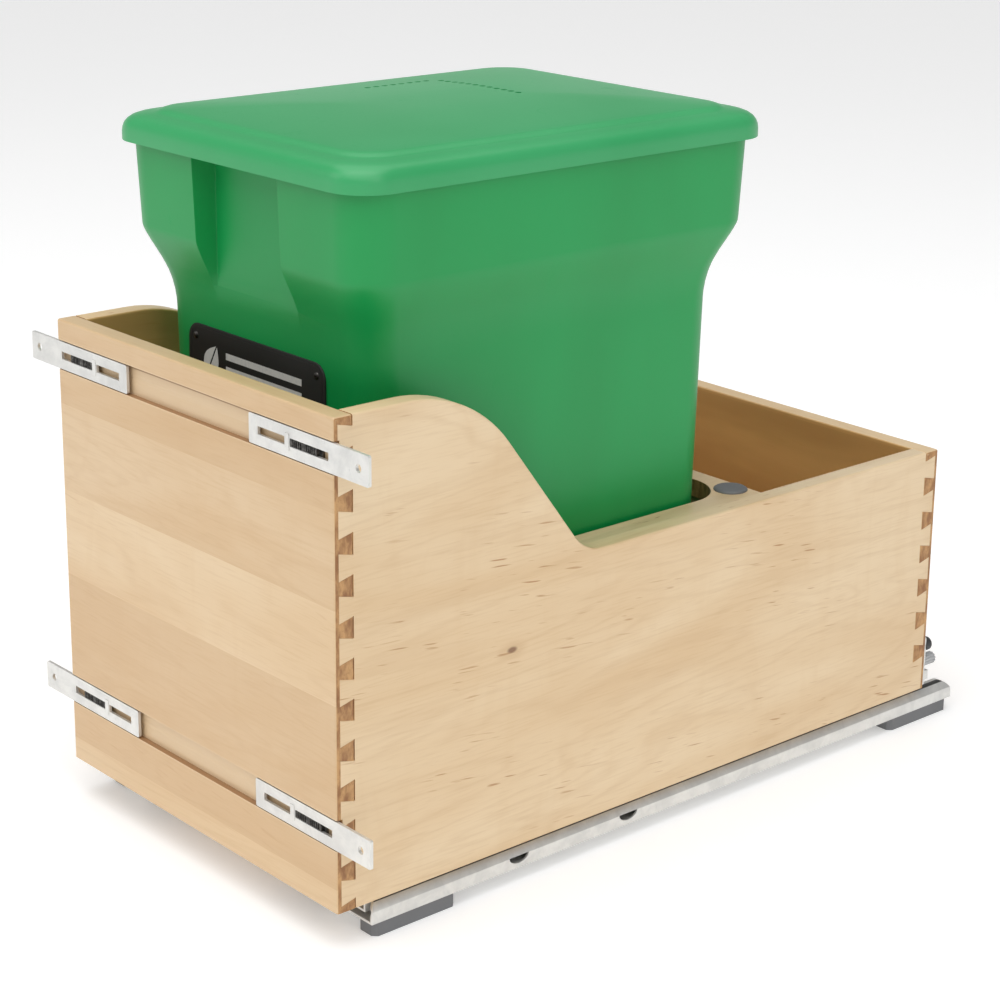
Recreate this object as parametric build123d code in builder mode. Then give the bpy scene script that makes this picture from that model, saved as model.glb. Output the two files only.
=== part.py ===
"""Pull-out waste bin for a base cabinet: a dovetailed maple drawer on undermount
slides, with a lidded plastic bin standing in it.  Millimetres, +Z up, +Y to the rear."""

import os
from math import cos, radians, sin, tan

from build123d import *

# ---------------------------------------------------------------- drawer box
drawer_width = 289.0
drawer_depth = 533.4
front_height = 303.0
low_rim_height = 181.0
board = 13.5
edge_ease = 1.5
plate_corner = 2.0
filter_corner = 2.0
scoop_setback = 51.2
scoop_crown_radius = 100.0
scoop_foot_radius = 30.0
scoop_slope = 52.5

# dovetails: half blind, the front and rear boards carry the pins
pin_pitch = 25.25
pin_width = 13.6
pin_flank = 14.0
lap = 3.0
glue_gap = 0.04

# floor of the drawer, set in a groove
floor_thickness = 6.3
floor_recess = 12.7
floor_housing = 6.0
housing_gap = 0.1

# horizontal grooves in the front board and the door brackets that lie in them
groove_height = 19.6
groove_depth = 4.2
groove_low_z = 50.1
groove_high_z = 279.6
bracket_length = 111.6
bracket_height = 18.2
bracket_thickness = 2.0
bracket_reach = 31.5
bracket_end_hole = 5.0
bracket_hole_inset = 9.0
bracket_proud = 0.1
bracket_corner = 1.2
bridge_gap = 0.6
clamp_lip = 2.0
bridge_proud = 0.4
bridge_width = 5.0
bridge_height = 10.0
slot_height = 5.0
slot_corner = 0.5
slot_inset = 8.6
inner_slot = 26.0
outer_slot = 36.0
clamp_length = 25.0
clamp_plate = 1.9
clamp_height = 13.0
clamp_screw = 3.0
tooth_pitch = 1.8
tooth_count = 5
tooth_depth = 0.8

# platform with the bin's cut-out, its cleats and the divider behind the bin
platform_drop = 5.0
platform_thickness = 12.7
compartment_depth = 143.2
cutout_side_gap = 1.1
cutout_end_gap = 18.2
cutout_radius = 32.0
cleat_width = 12.0
cleat_height = 19.0
cap_diameter = 23.0
cap_thickness = 2.2
cap_stem = 8.0
cap_inset_x = 40.5
cap_inset_y = 12.0
panel_gap = 0.1

# bin
bin_side_gap = 7.4
bin_front_gap = 23.7
bin_rear_gap = 15.5
bin_collar_radius = 30.0
bin_wall = 2.6
bin_height = 400.2
collar_drop = 53.3
collar_draft = 2.1
collar_straight = 0.75
waist_drop = 54.0
waist_inset = 15.6
body_draft = 4.6
bin_foot_radius = 9.0
recess_width = 87.0
recess_depth = 16.0
recess_rim = 1.5
foot_share = 0.3
corner_share = 0.35
rim_overcut = 1.0

# nameplate on the bin's front
plate_width = 141.0
plate_height = 46.0
plate_thickness = 1.6
plate_radius = 10.0
plate_top_drop = 112.3
plate_shift = -5.0
rivet_diameter = 3.0
rivet_head = 5.0
rivet_inset = 8.0
rivet_rise = 1.0

# lid
lid_overhang = 4.0
lid_radius = 26.0
lid_skirt = 7.2
lid_rise = 24.5
lid_wall = 2.5
lid_seat_gap = 0.3
lid_lap = 0.8
lid_length_extra = 2.4
lid_reveal = 9.0
seat_width = 4.0
vent_corner_cut = 1.5
vent_diameter = 4.4
vent_pitch = 7.0
vent_run_long = 12
vent_run_deep = 8
vent_corner_x = -71.0
vent_corner_y = 51.0
filter_wall = 1.6
filter_thickness = 6.0
filter_margin = 9.0
filter_tray_lift = 4.0
filter_slot = 5.0
tray_slots = 9

# slides and feet
foot_height = 9.5
foot_length = 64.0
foot_width = 16.5
foot_end_inset = 2.6
foot_face_inset = 1.0
foot_hole = 4.5
foot_corner = 3.0
foot_screw_head = 6.0
foot_screw_rise = 1.0
foot_screw_floor = 1.5
foot_screw_gap = 0.5
rail_setback = 25.3
rail_length = 540.6
rail_height = 13.1
rail_width = 46.5
rail_lower_wall = 8.0
rail_slant = 5.0
sheet = 1.5
lip = 5.5
running_gap = 0.3
side_clearance = 2.6
drawer_rail_width = 26.5
drawer_rail_setback = 24.0
drawer_rail_length = 482.0
drawer_rail_depth = 10.9
mid_rail_setback = 12.0
mid_rail_length = 500.0
web_thickness = 3.0
lower_roller = 3.7
upper_roller = 3.3
lower_cage_margin = 4.6
upper_cage_margin = 1.95
cage_length = 190.0
cage_edge = 2.5
cage_thickness = 2.0
cage_centre_back = 288.0
roller_count = 6
roller_end_gap = 0.25
notch_length = 16.0
notch_height = 5.0
notch_one_back = 142.2
notch_two_back = 236.8
rail_nose_radius = 9.0
web_lip = 4.5
low_rail_clearance = 2.0

# clips and adjusters of the slides
clip_width = 41.0
clip_length = 36.0
clip_height = 8.5
clip_screw_inset = 10.0
clip_finger_gap = 8.0
clip_wall = 4.0
clip_skin = 2.0
clip_screw_shift = 6.0
clip_screw_head = 1.5
rear_plate_width = 12.0
rear_plate_height = 38.0
plate_edge = 0.8
rear_arm_z = 4.0
rear_arm_reach = 8.0
rear_arm_height = 7.0
rear_arm_inset = 2.0
wheel_diameter = 9.0
wheel_length = 11.5
wheel_ribs = 12
rib_radius = 0.7
wheel_z = 19.0
knob_diameter = 10.0
knob_length = 6.5
knob_z = 31.5
stud_diameter = 3.0
stud_clearance = 0.06
stud_inset = 5.0
stud_floor = 3.0
notch_margin = 2.0

# ---------------------------------------------------------------- places worked out
half_width = drawer_width / 2
inner_half = half_width - board
total_length = bracket_proud + bridge_proud + rail_setback + rail_length
front_y = -total_length / 2 + bracket_proud + bridge_proud
rear_y = front_y + drawer_depth
inner_front_y = front_y + board
inner_rear_y = rear_y - board
rail_top_z = foot_height + rail_height
drawer_z = rail_top_z + side_clearance
floor_z = drawer_z + floor_recess
floor_top_z = floor_z + floor_thickness
top_z = drawer_z + front_height
rim_z = drawer_z + low_rim_height
platform_z = rim_z - platform_drop
platform_rear_y = inner_rear_y - compartment_depth
platform_front_y = inner_front_y + panel_gap
bin_collar_width = 2 * (inner_half - bin_side_gap)
bin_collar_length = platform_rear_y - bin_rear_gap - inner_front_y - bin_front_gap
bin_y = inner_front_y + bin_front_gap + bin_collar_length / 2
bin_z = floor_top_z + panel_gap
bin_top_z = bin_z + bin_height
waist_half_x = bin_collar_width / 2 - collar_draft - waist_inset
waist_half_y = bin_collar_length / 2 - collar_draft - waist_inset
cutout_width = 2 * (waist_half_x + cutout_side_gap)
cutout_length = 2 * (waist_half_y + cutout_end_gap)
rail_front_y = front_y + rail_setback
stud_x = half_width - stud_inset
notch_inner_x = inner_half - drawer_rail_width - notch_margin
mirror_plane = Plane.YZ

os.makedirs("parts", exist_ok=True)


def write(builder, name):
    """Label a finished piece and write it as its own file."""
    builder.part.label = name
    export_step(builder.part, f"parts/{name}.step")


def write_pair(builder, name):
    """Write the right-hand piece and its mirror image on the left."""
    write(builder, f"{name}_right")
    with BuildPart() as twin:
        mirror(builder.part, about=mirror_plane)
    write(twin, f"{name}_left")


def across(y):
    """The X-Z plane at a place along Y; a negative extrusion runs to the rear."""
    return Plane.XZ.offset(-y)


def block(x_span, y_span, z_span, mode=Mode.ADD):
    """A box given by its limits along each axis."""
    centre = [(low + high) / 2 for low, high in (x_span, y_span, z_span)]
    size = [high - low for low, high in (x_span, y_span, z_span)]
    with Locations(tuple(centre)):
        Box(*size, mode=mode)


def pin_heights(height):
    """Centre heights of the dovetail pins, from the half pin at the top down to the last that fits."""
    drops = [step * pin_pitch for step in range(int(height / pin_pitch) + 1)]
    return [drawer_z + height - drop for drop in drops if not 1 < height - drop < pin_width / 2]


def pin_outlines(shoulder_y, end_y, height, growth, mode):
    """Pins in side view: wide at the shoulder, narrow at the lap."""
    narrowing = abs(end_y - shoulder_y) * tan(radians(pin_flank))
    root = pin_width / 2 + growth
    tip = root - narrowing
    for z in pin_heights(height):
        corners = [(shoulder_y, z - root), (shoulder_y, z + root), (end_y, z + tip), (end_y, z - tip)]
        Polygon(*corners, align=None, mode=mode)


def cut_tails(shoulder_y, end_y, height):
    """Sockets in a front or rear board for the tails of both sides."""
    for x, run in ((inner_half, board + 1), (-inner_half, -board - 1)):
        with BuildSketch(Plane.YZ.offset(x)) as tails:
            with Locations(((shoulder_y + end_y) / 2, drawer_z + height / 2)):
                Rectangle(abs(end_y - shoulder_y), height + 2)
            pin_outlines(shoulder_y, end_y, height, 0, Mode.SUBTRACT)
        extrude(tails.sketch, amount=run, mode=Mode.SUBTRACT)


def cut_floor_housing():
    """The groove that takes the edge of the drawer's floor."""
    reach = inner_half + floor_housing + housing_gap
    block(
        (-reach, reach),
        (inner_front_y - floor_housing - housing_gap, inner_rear_y + floor_housing + housing_gap),
        (floor_z, floor_top_z),
        mode=Mode.SUBTRACT,
    )


def cut_bracket_grooves():
    """The two grooves across the front that hold the door brackets."""
    for z in (groove_low_z, groove_high_z):
        block(
            (-half_width - 1, half_width + 1),
            (front_y - 1, front_y + groove_depth),
            (drawer_z + z - groove_height / 2, drawer_z + z + groove_height / 2),
            mode=Mode.SUBTRACT,
        )


def bore_studs():
    """Holes for the studs of the rear knobs and wheels."""
    spots = [(sign * stud_x, drawer_z + z) for sign in (-1, 1) for z in (wheel_z, knob_z)]
    with BuildSketch(across(rear_y)) as studs:
        with Locations(*spots):
            Circle(stud_diameter / 2 + stud_clearance)
    extrude(studs.sketch, amount=board, mode=Mode.SUBTRACT)


def clamp_centres():
    """The middles of the four clamps, one in each bracket's outer slot."""
    inner_end = half_width + bracket_reach - bracket_length
    x = inner_end + slot_inset + inner_slot + bridge_width + clamp_length / 2 + running_gap
    return [(sign * x, drawer_z + z) for z in (groove_low_z, groove_high_z) for sign in (-1, 1)]


# ---------------------------------------------------------------- boards of the drawer
with BuildPart() as front_panel:
    block((-half_width, half_width), (front_y, inner_front_y), (drawer_z, top_z))
    fillet(front_panel.edges().filter_by(Axis.X).group_by(Axis.Z)[-1], edge_ease)
    fillet(front_panel.edges().filter_by(Axis.Z).group_by(Axis.Y)[0], edge_ease)
    cut_tails(inner_front_y, front_y + lap, front_height)
    cut_floor_housing()
    cut_bracket_grooves()
    with BuildSketch(across(front_y)):
        with Locations(*clamp_centres()):
            Circle(clamp_screw / 2 + stud_clearance)
    extrude(amount=-board + 1, mode=Mode.SUBTRACT)
write(front_panel, "front_panel")

with BuildPart() as rear_panel:
    block((-half_width, half_width), (inner_rear_y, rear_y), (drawer_z, rim_z))
    fillet(rear_panel.edges().filter_by(Axis.X).group_by(Axis.Z)[-1], edge_ease)
    fillet(rear_panel.edges().filter_by(Axis.Z).group_by(Axis.Y)[-1], edge_ease)
    cut_tails(inner_rear_y, rear_y - lap, low_rim_height)
    cut_floor_housing()
    bore_studs()
    for sign in (-1, 1):
        notch = sorted((sign * notch_inner_x, sign * inner_half))
        block(notch, (inner_rear_y - 1, rear_y + 1), (drawer_z - 1, floor_z), mode=Mode.SUBTRACT)
write(rear_panel, "rear_panel")


def scoop_points():
    """Where the side's top edge changes: crown start and end, foot start and end."""
    slope = radians(scoop_slope)
    crown_y = front_y + scoop_setback
    crown_end = (crown_y + scoop_crown_radius * sin(slope), top_z - scoop_crown_radius * (1 - cos(slope)))
    drop = crown_end[1] - rim_z
    corner_y = crown_end[0] + drop / tan(slope)
    tangent = scoop_foot_radius * tan(slope / 2)
    foot_start = (corner_y - tangent * cos(slope), rim_z + tangent * sin(slope))
    return crown_y, crown_end, foot_start, corner_y + tangent


with BuildPart() as side_panel:
    crown_y, crown_end, foot_start, foot_end_y = scoop_points()
    tail_front_y = front_y + lap
    tail_rear_y = rear_y - lap
    with BuildSketch(Plane.YZ.offset(inner_half)):
        with BuildLine():
            Polyline(
                (crown_y, top_z),
                (tail_front_y, top_z),
                (tail_front_y, drawer_z),
                (tail_rear_y, drawer_z),
                (tail_rear_y, rim_z),
                (foot_end_y, rim_z),
            )
            TangentArc((crown_y, top_z), crown_end, tangent=(1, 0))
            Line(crown_end, foot_start)
            TangentArc((foot_end_y, rim_z), foot_start, tangent=(-1, 0))
        make_face()
    extrude(amount=board)
    outline = side_panel.faces().sort_by(Axis.X)
    rims = (outline[0].edges() + outline[-1].edges()).filter_by(lambda edge: edge.center().Z > rim_z - 1)
    fillet(rims.filter_by(lambda edge: tail_front_y + 1 < edge.center().Y < tail_rear_y - 1), edge_ease)
    for shoulder, end, height in (
        (inner_front_y, tail_front_y, front_height),
        (inner_rear_y, tail_rear_y, low_rim_height),
    ):
        with BuildSketch(Plane.YZ.offset(inner_half - 1)):
            pin_outlines(shoulder, end, height, glue_gap, Mode.ADD)
        extrude(amount=board + 2, mode=Mode.SUBTRACT)
    cut_floor_housing()
    cut_bracket_grooves()
    bore_studs()
write_pair(side_panel, "side_panel")

with BuildPart() as bottom_panel:
    reach = inner_half + floor_housing
    block(
        (-reach, reach),
        (inner_front_y - floor_housing, inner_rear_y + floor_housing),
        (floor_z, floor_top_z),
    )
write(bottom_panel, "bottom_panel")

# ---------------------------------------------------------------- platform, cleats, divider
cap_spots = [
    (sign * (half_width - cap_inset_x), y)
    for sign in (-1, 1)
    for y in (platform_front_y + cap_inset_y, platform_rear_y - cap_inset_y)
]

with BuildPart() as platform:
    block(
        (-inner_half + panel_gap, inner_half - panel_gap),
        (platform_front_y, platform_rear_y),
        (platform_z - platform_thickness, platform_z),
    )
    with BuildSketch(Plane.XY.offset(platform_z)):
        with Locations((0, bin_y)):
            RectangleRounded(cutout_width, cutout_length, cutout_radius)
    extrude(amount=-platform_thickness, mode=Mode.SUBTRACT)
    fillet(platform.faces().group_by(Axis.Z)[-1].edges().filter_by(Axis.X).group_by(Axis.Y)[-1], edge_ease)
    with BuildSketch(Plane.XY.offset(platform_z)):
        with Locations(*cap_spots):
            Circle(cap_stem / 2 + stud_clearance)
    extrude(amount=-platform_thickness / 2, mode=Mode.SUBTRACT)
write(platform, "platform")

with BuildPart() as platform_caps:
    with BuildSketch(Plane.XY.offset(platform_z)):
        with Locations(*cap_spots):
            Circle(cap_diameter / 2)
    extrude(amount=cap_thickness)
    fillet(platform_caps.edges().group_by(Axis.Z)[-1], cap_thickness * 0.6)
    with BuildSketch(Plane.XY.offset(platform_z)):
        with Locations(*cap_spots):
            Circle(cap_stem / 2)
    extrude(amount=-platform_thickness / 2 + 1)
write(platform_caps, "platform_caps")

with BuildPart() as divider:
    block(
        (-inner_half + panel_gap, inner_half - panel_gap),
        (platform_rear_y - platform_thickness, platform_rear_y),
        (floor_top_z + panel_gap, platform_z - platform_thickness),
    )
write(divider, "divider_panel")

with BuildPart() as cleat:
    block(
        (inner_half - cleat_width, inner_half),
        (inner_front_y, platform_rear_y - platform_thickness - panel_gap),
        (platform_z - platform_thickness - cleat_height, platform_z - platform_thickness),
    )
    fillet(cleat.edges().filter_by(Axis.Y).group_by(Axis.Z)[0].group_by(Axis.X)[0], edge_ease)
write_pair(cleat, "platform_cleat")


# ---------------------------------------------------------------- bin
def bin_sections():
    """Height, half width, half length and corner radius of the bin's outside."""
    half_x = bin_collar_width / 2
    half_y = bin_collar_length / 2
    steps = [
        (bin_top_z, 0.0),
        (bin_top_z - collar_drop * collar_straight, collar_draft * collar_straight),
        (bin_top_z - collar_drop, collar_draft),
    ]
    for share, inset in ((0.14, 0.08), (0.3, 0.36), (0.45, 0.62), (0.62, 0.83), (0.8, 0.95), (1.0, 1.0)):
        z = bin_top_z - collar_drop - share * waist_drop
        steps.append((z, collar_draft + inset * waist_inset))
    waist = collar_draft + waist_inset
    steps.append((bin_z + bin_foot_radius, waist + body_draft))
    steps.append((bin_z + bin_foot_radius * foot_share, waist + body_draft + bin_foot_radius * foot_share))
    steps.append((bin_z, waist + body_draft + bin_foot_radius))
    steps.reverse()
    return [
        (z, half_x - inset, half_y - inset, bin_collar_radius - inset * corner_share) for z, inset in steps
    ]


def recess_blocks(growth):
    """The grip recesses in the middle of the bin's front and rear collar."""
    half_y = bin_collar_length / 2
    for sign in (-1, 1):
        face = bin_y + sign * (half_y - recess_depth - growth)
        outside = bin_y + sign * (half_y + recess_rim)
        block(
            (-recess_width / 2 - growth, recess_width / 2 + growth),
            (min(face, outside), max(face, outside)),
            (bin_z + bin_foot_radius * 2, bin_top_z - recess_rim + growth),
            mode=Mode.SUBTRACT,
        )


with BuildPart() as bin_hollow:
    for z, half_x, half_y, radius in bin_sections():
        lift = {bin_z: bin_wall, bin_top_z: rim_overcut}.get(z, 0)
        with BuildSketch(Plane.XY.offset(z + lift)):
            with Locations((0, bin_y)):
                RectangleRounded(2 * (half_x - bin_wall), 2 * (half_y - bin_wall), radius - bin_wall)
    loft(ruled=True)
    recess_blocks(bin_wall)

with BuildPart() as bin_shell:
    for z, half_x, half_y, radius in bin_sections():
        with BuildSketch(Plane.XY.offset(z)):
            with Locations((0, bin_y)):
                RectangleRounded(2 * half_x, 2 * half_y, radius)
    loft(ruled=True)
    recess_blocks(0)
    add(bin_hollow.part, mode=Mode.SUBTRACT)
write(bin_shell, "bin_shell")


# ---------------------------------------------------------------- nameplate
def body_front(z):
    """The Y of the bin's front wall at a height on the body below the waist."""
    waist_z = bin_top_z - collar_drop - waist_drop
    waist = collar_draft + waist_inset
    share = (waist_z - z) / (waist_z - bin_z - bin_foot_radius)
    return bin_y - bin_collar_length / 2 + waist + body_draft * share


plate_top = bin_top_z - plate_top_drop
plate_z = plate_top - plate_height / 2
rise_angle = body_draft / (bin_height - collar_drop - waist_drop - bin_foot_radius)
plate_plane = Plane(
    origin=(plate_shift, body_front(plate_z) - panel_gap, plate_z),
    x_dir=(1, 0, 0),
    z_dir=(0, -cos(rise_angle), -sin(rise_angle)),
)
rivet_spots = [
    (sx * (plate_width / 2 - rivet_inset), sz * (plate_height / 2 - rivet_inset))
    for sx in (-1, 1)
    for sz in (-1, 1)
]

with BuildPart() as nameplate:
    with BuildSketch(plate_plane):
        RectangleRounded(plate_width, plate_height, plate_radius)
        with Locations(*rivet_spots):
            Circle(rivet_diameter / 2 + stud_clearance, mode=Mode.SUBTRACT)
    extrude(amount=plate_thickness)
write(nameplate, "nameplate")

with BuildPart() as rivets:
    with BuildSketch(plate_plane):
        with Locations(*rivet_spots):
            Circle(rivet_diameter / 2)
    extrude(amount=plate_thickness)
    with BuildSketch(plate_plane.offset(plate_thickness)):
        with Locations(*rivet_spots):
            Circle(rivet_head / 2)
    extrude(amount=rivet_rise)
write(rivets, "nameplate_rivets")

# ---------------------------------------------------------------- lid
lid_z = bin_top_z - lid_lap
lid_half_x = bin_collar_width / 2 + lid_overhang
lid_half_y = bin_collar_length / 2 + lid_overhang + lid_length_extra
lid_profile = (
    (0.0, 0.0),
    (lid_skirt, 0.0),
    (lid_skirt + 4.2, 1.4),
    (lid_skirt + 7.2, 4.6),
    (lid_skirt + 9.6, 10.0),
    (lid_skirt + 12.0, 24.0),
    (lid_skirt + 14.4, 46.0),
    (lid_skirt + 16.4, 78.0),
    (lid_rise, 104.0),
)


def crowned_form(shrink, lower):
    """The crowned lid as a stack of outlines, drawn in and lowered for its underside."""
    outlines = []
    for rise, inset in lid_profile:
        half_x = lid_half_x - inset - shrink
        half_y = lid_half_y - inset - shrink
        radius = min(lid_radius + 0.1 * inset, 0.8 * half_x) - shrink / 2
        with BuildSketch(Plane.XY.offset(lid_z + rise - lower)) as outline:
            with Locations((0, bin_y)):
                RectangleRounded(2 * half_x, 2 * half_y, radius)
        outlines.append(outline.sketch)
    loft(outlines, ruled=True)


vent_line = [(vent_corner_x, vent_corner_y - (step + 1) * vent_pitch) for step in range(vent_run_deep)]
vent_line += [(vent_corner_x + (step + 1) * vent_pitch, vent_corner_y) for step in range(vent_run_long)]
vent_line.append((vent_corner_x + vent_corner_cut, vent_corner_y - vent_corner_cut))
vent_spots = [(x, bin_y + y) for x, y in vent_line]

with BuildPart() as lid_hollow:
    crowned_form(lid_wall, lid_wall)
    block(
        (-lid_half_x, lid_half_x),
        (bin_y - lid_half_y, bin_y + lid_half_y),
        (lid_z - lid_reveal, lid_z),
        mode=Mode.SUBTRACT,
    )

with BuildPart() as lid:
    crowned_form(0, 0)
    add(lid_hollow.part, mode=Mode.SUBTRACT)
    seat_half_x = bin_collar_width / 2 - 1
    seat_half_y = bin_collar_length / 2 - 1
    with BuildSketch(Plane.XY.offset(bin_top_z + lid_seat_gap)):
        with Locations((0, bin_y)):
            RectangleRounded(2 * lid_half_x - lid_wall, 2 * lid_half_y - lid_wall, lid_radius - lid_wall / 2)
            RectangleRounded(
                2 * (seat_half_x - seat_width),
                2 * (seat_half_y - seat_width),
                lid_radius - seat_width,
                mode=Mode.SUBTRACT,
            )
    extrude(amount=lid_skirt - lid_lap - lid_seat_gap + 1)
    with BuildSketch(Plane.XY.offset(lid_z)):
        with Locations(*vent_spots):
            Circle(vent_diameter / 2)
    extrude(amount=lid_rise + 1, mode=Mode.SUBTRACT)
write(lid, "lid")

# ---------------------------------------------------------------- odour filter under the vents
filter_x = (vent_corner_x - filter_margin, vent_corner_x + vent_run_long * vent_pitch + filter_margin)
filter_y = (
    bin_y + vent_corner_y - vent_run_deep * vent_pitch - filter_margin,
    bin_y + vent_corner_y + filter_margin,
)
tray_z = lid_z + filter_tray_lift


def inset_span(span, amount):
    """A span drawn in at both ends."""
    return (span[0] + amount, span[1] - amount)


with BuildPart() as filter_tray:
    block(filter_x, filter_y, (tray_z, lid_z + lid_rise))
    pocket_x = inset_span(filter_x, filter_wall)
    pocket_y = inset_span(filter_y, filter_wall)
    block(pocket_x, pocket_y, (tray_z + filter_wall, lid_z + lid_rise + 1), mode=Mode.SUBTRACT)
    with BuildSketch(Plane.XY.offset(tray_z)):
        with Locations(((filter_x[0] + filter_x[1]) / 2, (filter_y[0] + filter_y[1]) / 2)):
            with GridLocations(filter_slot * 2, 0, tray_slots, 1):
                SlotOverall(filter_y[1] - filter_y[0] - 4 * filter_wall, filter_slot, rotation=90)
    extrude(amount=filter_wall, mode=Mode.SUBTRACT)
    add(lid_hollow.part, mode=Mode.INTERSECT)
write(filter_tray, "filter_tray")

with BuildPart() as filter_pad:
    pad_x = inset_span(filter_x, filter_wall + panel_gap)
    pad_y = inset_span(filter_y, filter_wall + panel_gap)
    block(pad_x, pad_y, (tray_z + filter_wall, tray_z + filter_wall + filter_thickness))
    fillet(filter_pad.edges().filter_by(Axis.Z), filter_corner)
write(filter_pad, "filter_pad")

# ---------------------------------------------------------------- slides, right-hand set
rail_outer_x = half_width
rail_inner_x = half_width - rail_width
drawer_rail_outer_x = inner_half - panel_gap
drawer_rail_inner_x = drawer_rail_outer_x - drawer_rail_width
web_x = (drawer_rail_inner_x + drawer_rail_outer_x) / 2
rail_rear_y = rail_front_y + rail_length
mid_front_y = front_y + board + mid_rail_setback
drawer_rail_front_y = front_y + board + drawer_rail_setback
lower_flange_z = foot_height + sheet + lower_roller + 2 * running_gap
upper_flange_z = floor_z - sheet - upper_roller - 2 * running_gap
drawer_rail_low_z = floor_z - drawer_rail_depth
cage_front_y = front_y + cage_centre_back - cage_length / 2
foot_spans = (
    (rail_front_y + foot_end_inset, rail_front_y + foot_end_inset + foot_length),
    (rail_rear_y - foot_end_inset - foot_length, rail_rear_y - foot_end_inset),
)
foot_x = (half_width - foot_face_inset - foot_width, half_width - foot_face_inset)
foot_hole_inset = foot_length / 4


def bent_sheet(points, y, length):
    """A folded strip of sheet steel along Y, its outer surface through the points."""
    with BuildSketch(across(y)) as section:
        with BuildLine():
            Polyline(*points)
            offset(amount=sheet, side=Side.RIGHT, kind=Kind.INTERSECTION)
        make_face()
    extrude(section.sketch, amount=-length)


with BuildPart() as base_rail:
    bent_sheet(
        (
            (rail_outer_x - rail_slant - lip, rail_top_z),
            (rail_outer_x - rail_slant, rail_top_z),
            (rail_outer_x, foot_height + rail_lower_wall),
            (rail_outer_x, foot_height),
            (rail_inner_x, foot_height),
            (rail_inner_x, rail_top_z),
            (rail_inner_x + lip, rail_top_z),
        ),
        rail_front_y,
        rail_length,
    )
    with BuildSketch(Plane.YZ.offset(rail_outer_x)):
        for end_y, inward in ((rail_front_y, 1), (rail_rear_y, -1)):
            arc_low = (end_y, rail_top_z - rail_nose_radius)
            arc_high = (end_y + inward * rail_nose_radius, rail_top_z)
            with BuildLine():
                TangentArc(arc_low, arc_high, tangent=(0, 1))
                Polyline(
                    arc_high,
                    (arc_high[0], rail_top_z + 1),
                    (end_y - inward, rail_top_z + 1),
                    (end_y - inward, arc_low[1]),
                    arc_low,
                )
            make_face()
    extrude(amount=-rail_width / 3, mode=Mode.SUBTRACT)
    with BuildSketch(Plane.YZ.offset(rail_outer_x)):
        for back in (notch_one_back, notch_two_back):
            with Locations((front_y + back, rail_top_z - notch_height)):
                Ellipse(notch_length / 2, notch_height)
                with Locations((0, notch_height)):
                    Rectangle(notch_length + 2, notch_height * 2, mode=Mode.SUBTRACT)
    extrude(amount=-rail_slant - sheet, mode=Mode.SUBTRACT)
    with BuildSketch(Plane.XY.offset(foot_height)):
        for low, high in foot_spans:
            with Locations(((foot_x[0] + foot_x[1]) / 2, low + foot_hole_inset)):
                Circle(foot_hole / 2)
            with Locations(((foot_x[0] + foot_x[1]) / 2, high - foot_hole_inset)):
                Circle(stud_diameter / 2 + stud_clearance)
    extrude(amount=sheet, mode=Mode.SUBTRACT)
write_pair(base_rail, "base_rail")

low_x = (rail_inner_x + sheet + low_rail_clearance, rail_outer_x - sheet - rail_slant - running_gap)
high_x = (drawer_rail_inner_x + sheet + running_gap, drawer_rail_outer_x - sheet - running_gap)
mid_y = (mid_front_y, mid_front_y + mid_rail_length)

with BuildPart() as mid_rail:
    block(low_x, mid_y, (lower_flange_z, lower_flange_z + sheet))
    for x in (low_x[0], low_x[1] - sheet):
        block((x, x + sheet), mid_y, (lower_flange_z, rail_top_z - sheet - running_gap))
    block((web_x - web_thickness / 2, web_x + web_thickness / 2), mid_y, (lower_flange_z, upper_flange_z))
    block(high_x, mid_y, (upper_flange_z - sheet, upper_flange_z))
    for x in (high_x[0], high_x[1] - sheet):
        block((x, x + sheet), mid_y, (drawer_rail_low_z + sheet + running_gap, upper_flange_z))
write_pair(mid_rail, "mid_rail")

with BuildPart() as drawer_rail:
    bent_sheet(
        (
            (drawer_rail_inner_x + web_lip, drawer_rail_low_z),
            (drawer_rail_inner_x, drawer_rail_low_z),
            (drawer_rail_inner_x, floor_z),
            (drawer_rail_outer_x, floor_z),
            (drawer_rail_outer_x, drawer_rail_low_z),
            (drawer_rail_outer_x - web_lip, drawer_rail_low_z),
        ),
        drawer_rail_front_y,
        drawer_rail_length,
    )
write_pair(drawer_rail, "drawer_rail")


def roller_places():
    """Y of each roller's axis, evenly along the cage."""
    pitch = cage_length / roller_count
    return [cage_front_y + pitch * (step + 0.5) for step in range(roller_count)]


for level, diameter, low_z, cage_x in (
    ("lower", lower_roller, foot_height + sheet + running_gap, inset_span(low_x, lower_cage_margin)),
    ("upper", upper_roller, upper_flange_z + running_gap, inset_span(high_x, upper_cage_margin)),
):
    axis_z = low_z + diameter / 2
    roller_x = inset_span(cage_x, cage_edge)
    with BuildPart() as cage:
        block(
            cage_x,
            (cage_front_y, cage_front_y + cage_length),
            (axis_z - cage_thickness / 2, axis_z + cage_thickness / 2),
        )
        for y in roller_places():
            block(
                inset_span(roller_x, -roller_end_gap),
                (y - diameter / 2 - roller_end_gap, y + diameter / 2 + roller_end_gap),
                (axis_z - cage_thickness, axis_z + cage_thickness),
                mode=Mode.SUBTRACT,
            )
    write_pair(cage, f"{level}_cage")
    with BuildPart() as rollers:
        with BuildSketch(Plane.YZ.offset(roller_x[0])):
            with Locations(*[(y, axis_z) for y in roller_places()]):
                Circle(diameter / 2)
        extrude(amount=roller_x[1] - roller_x[0])
    write_pair(rollers, f"{level}_rollers")

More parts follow.
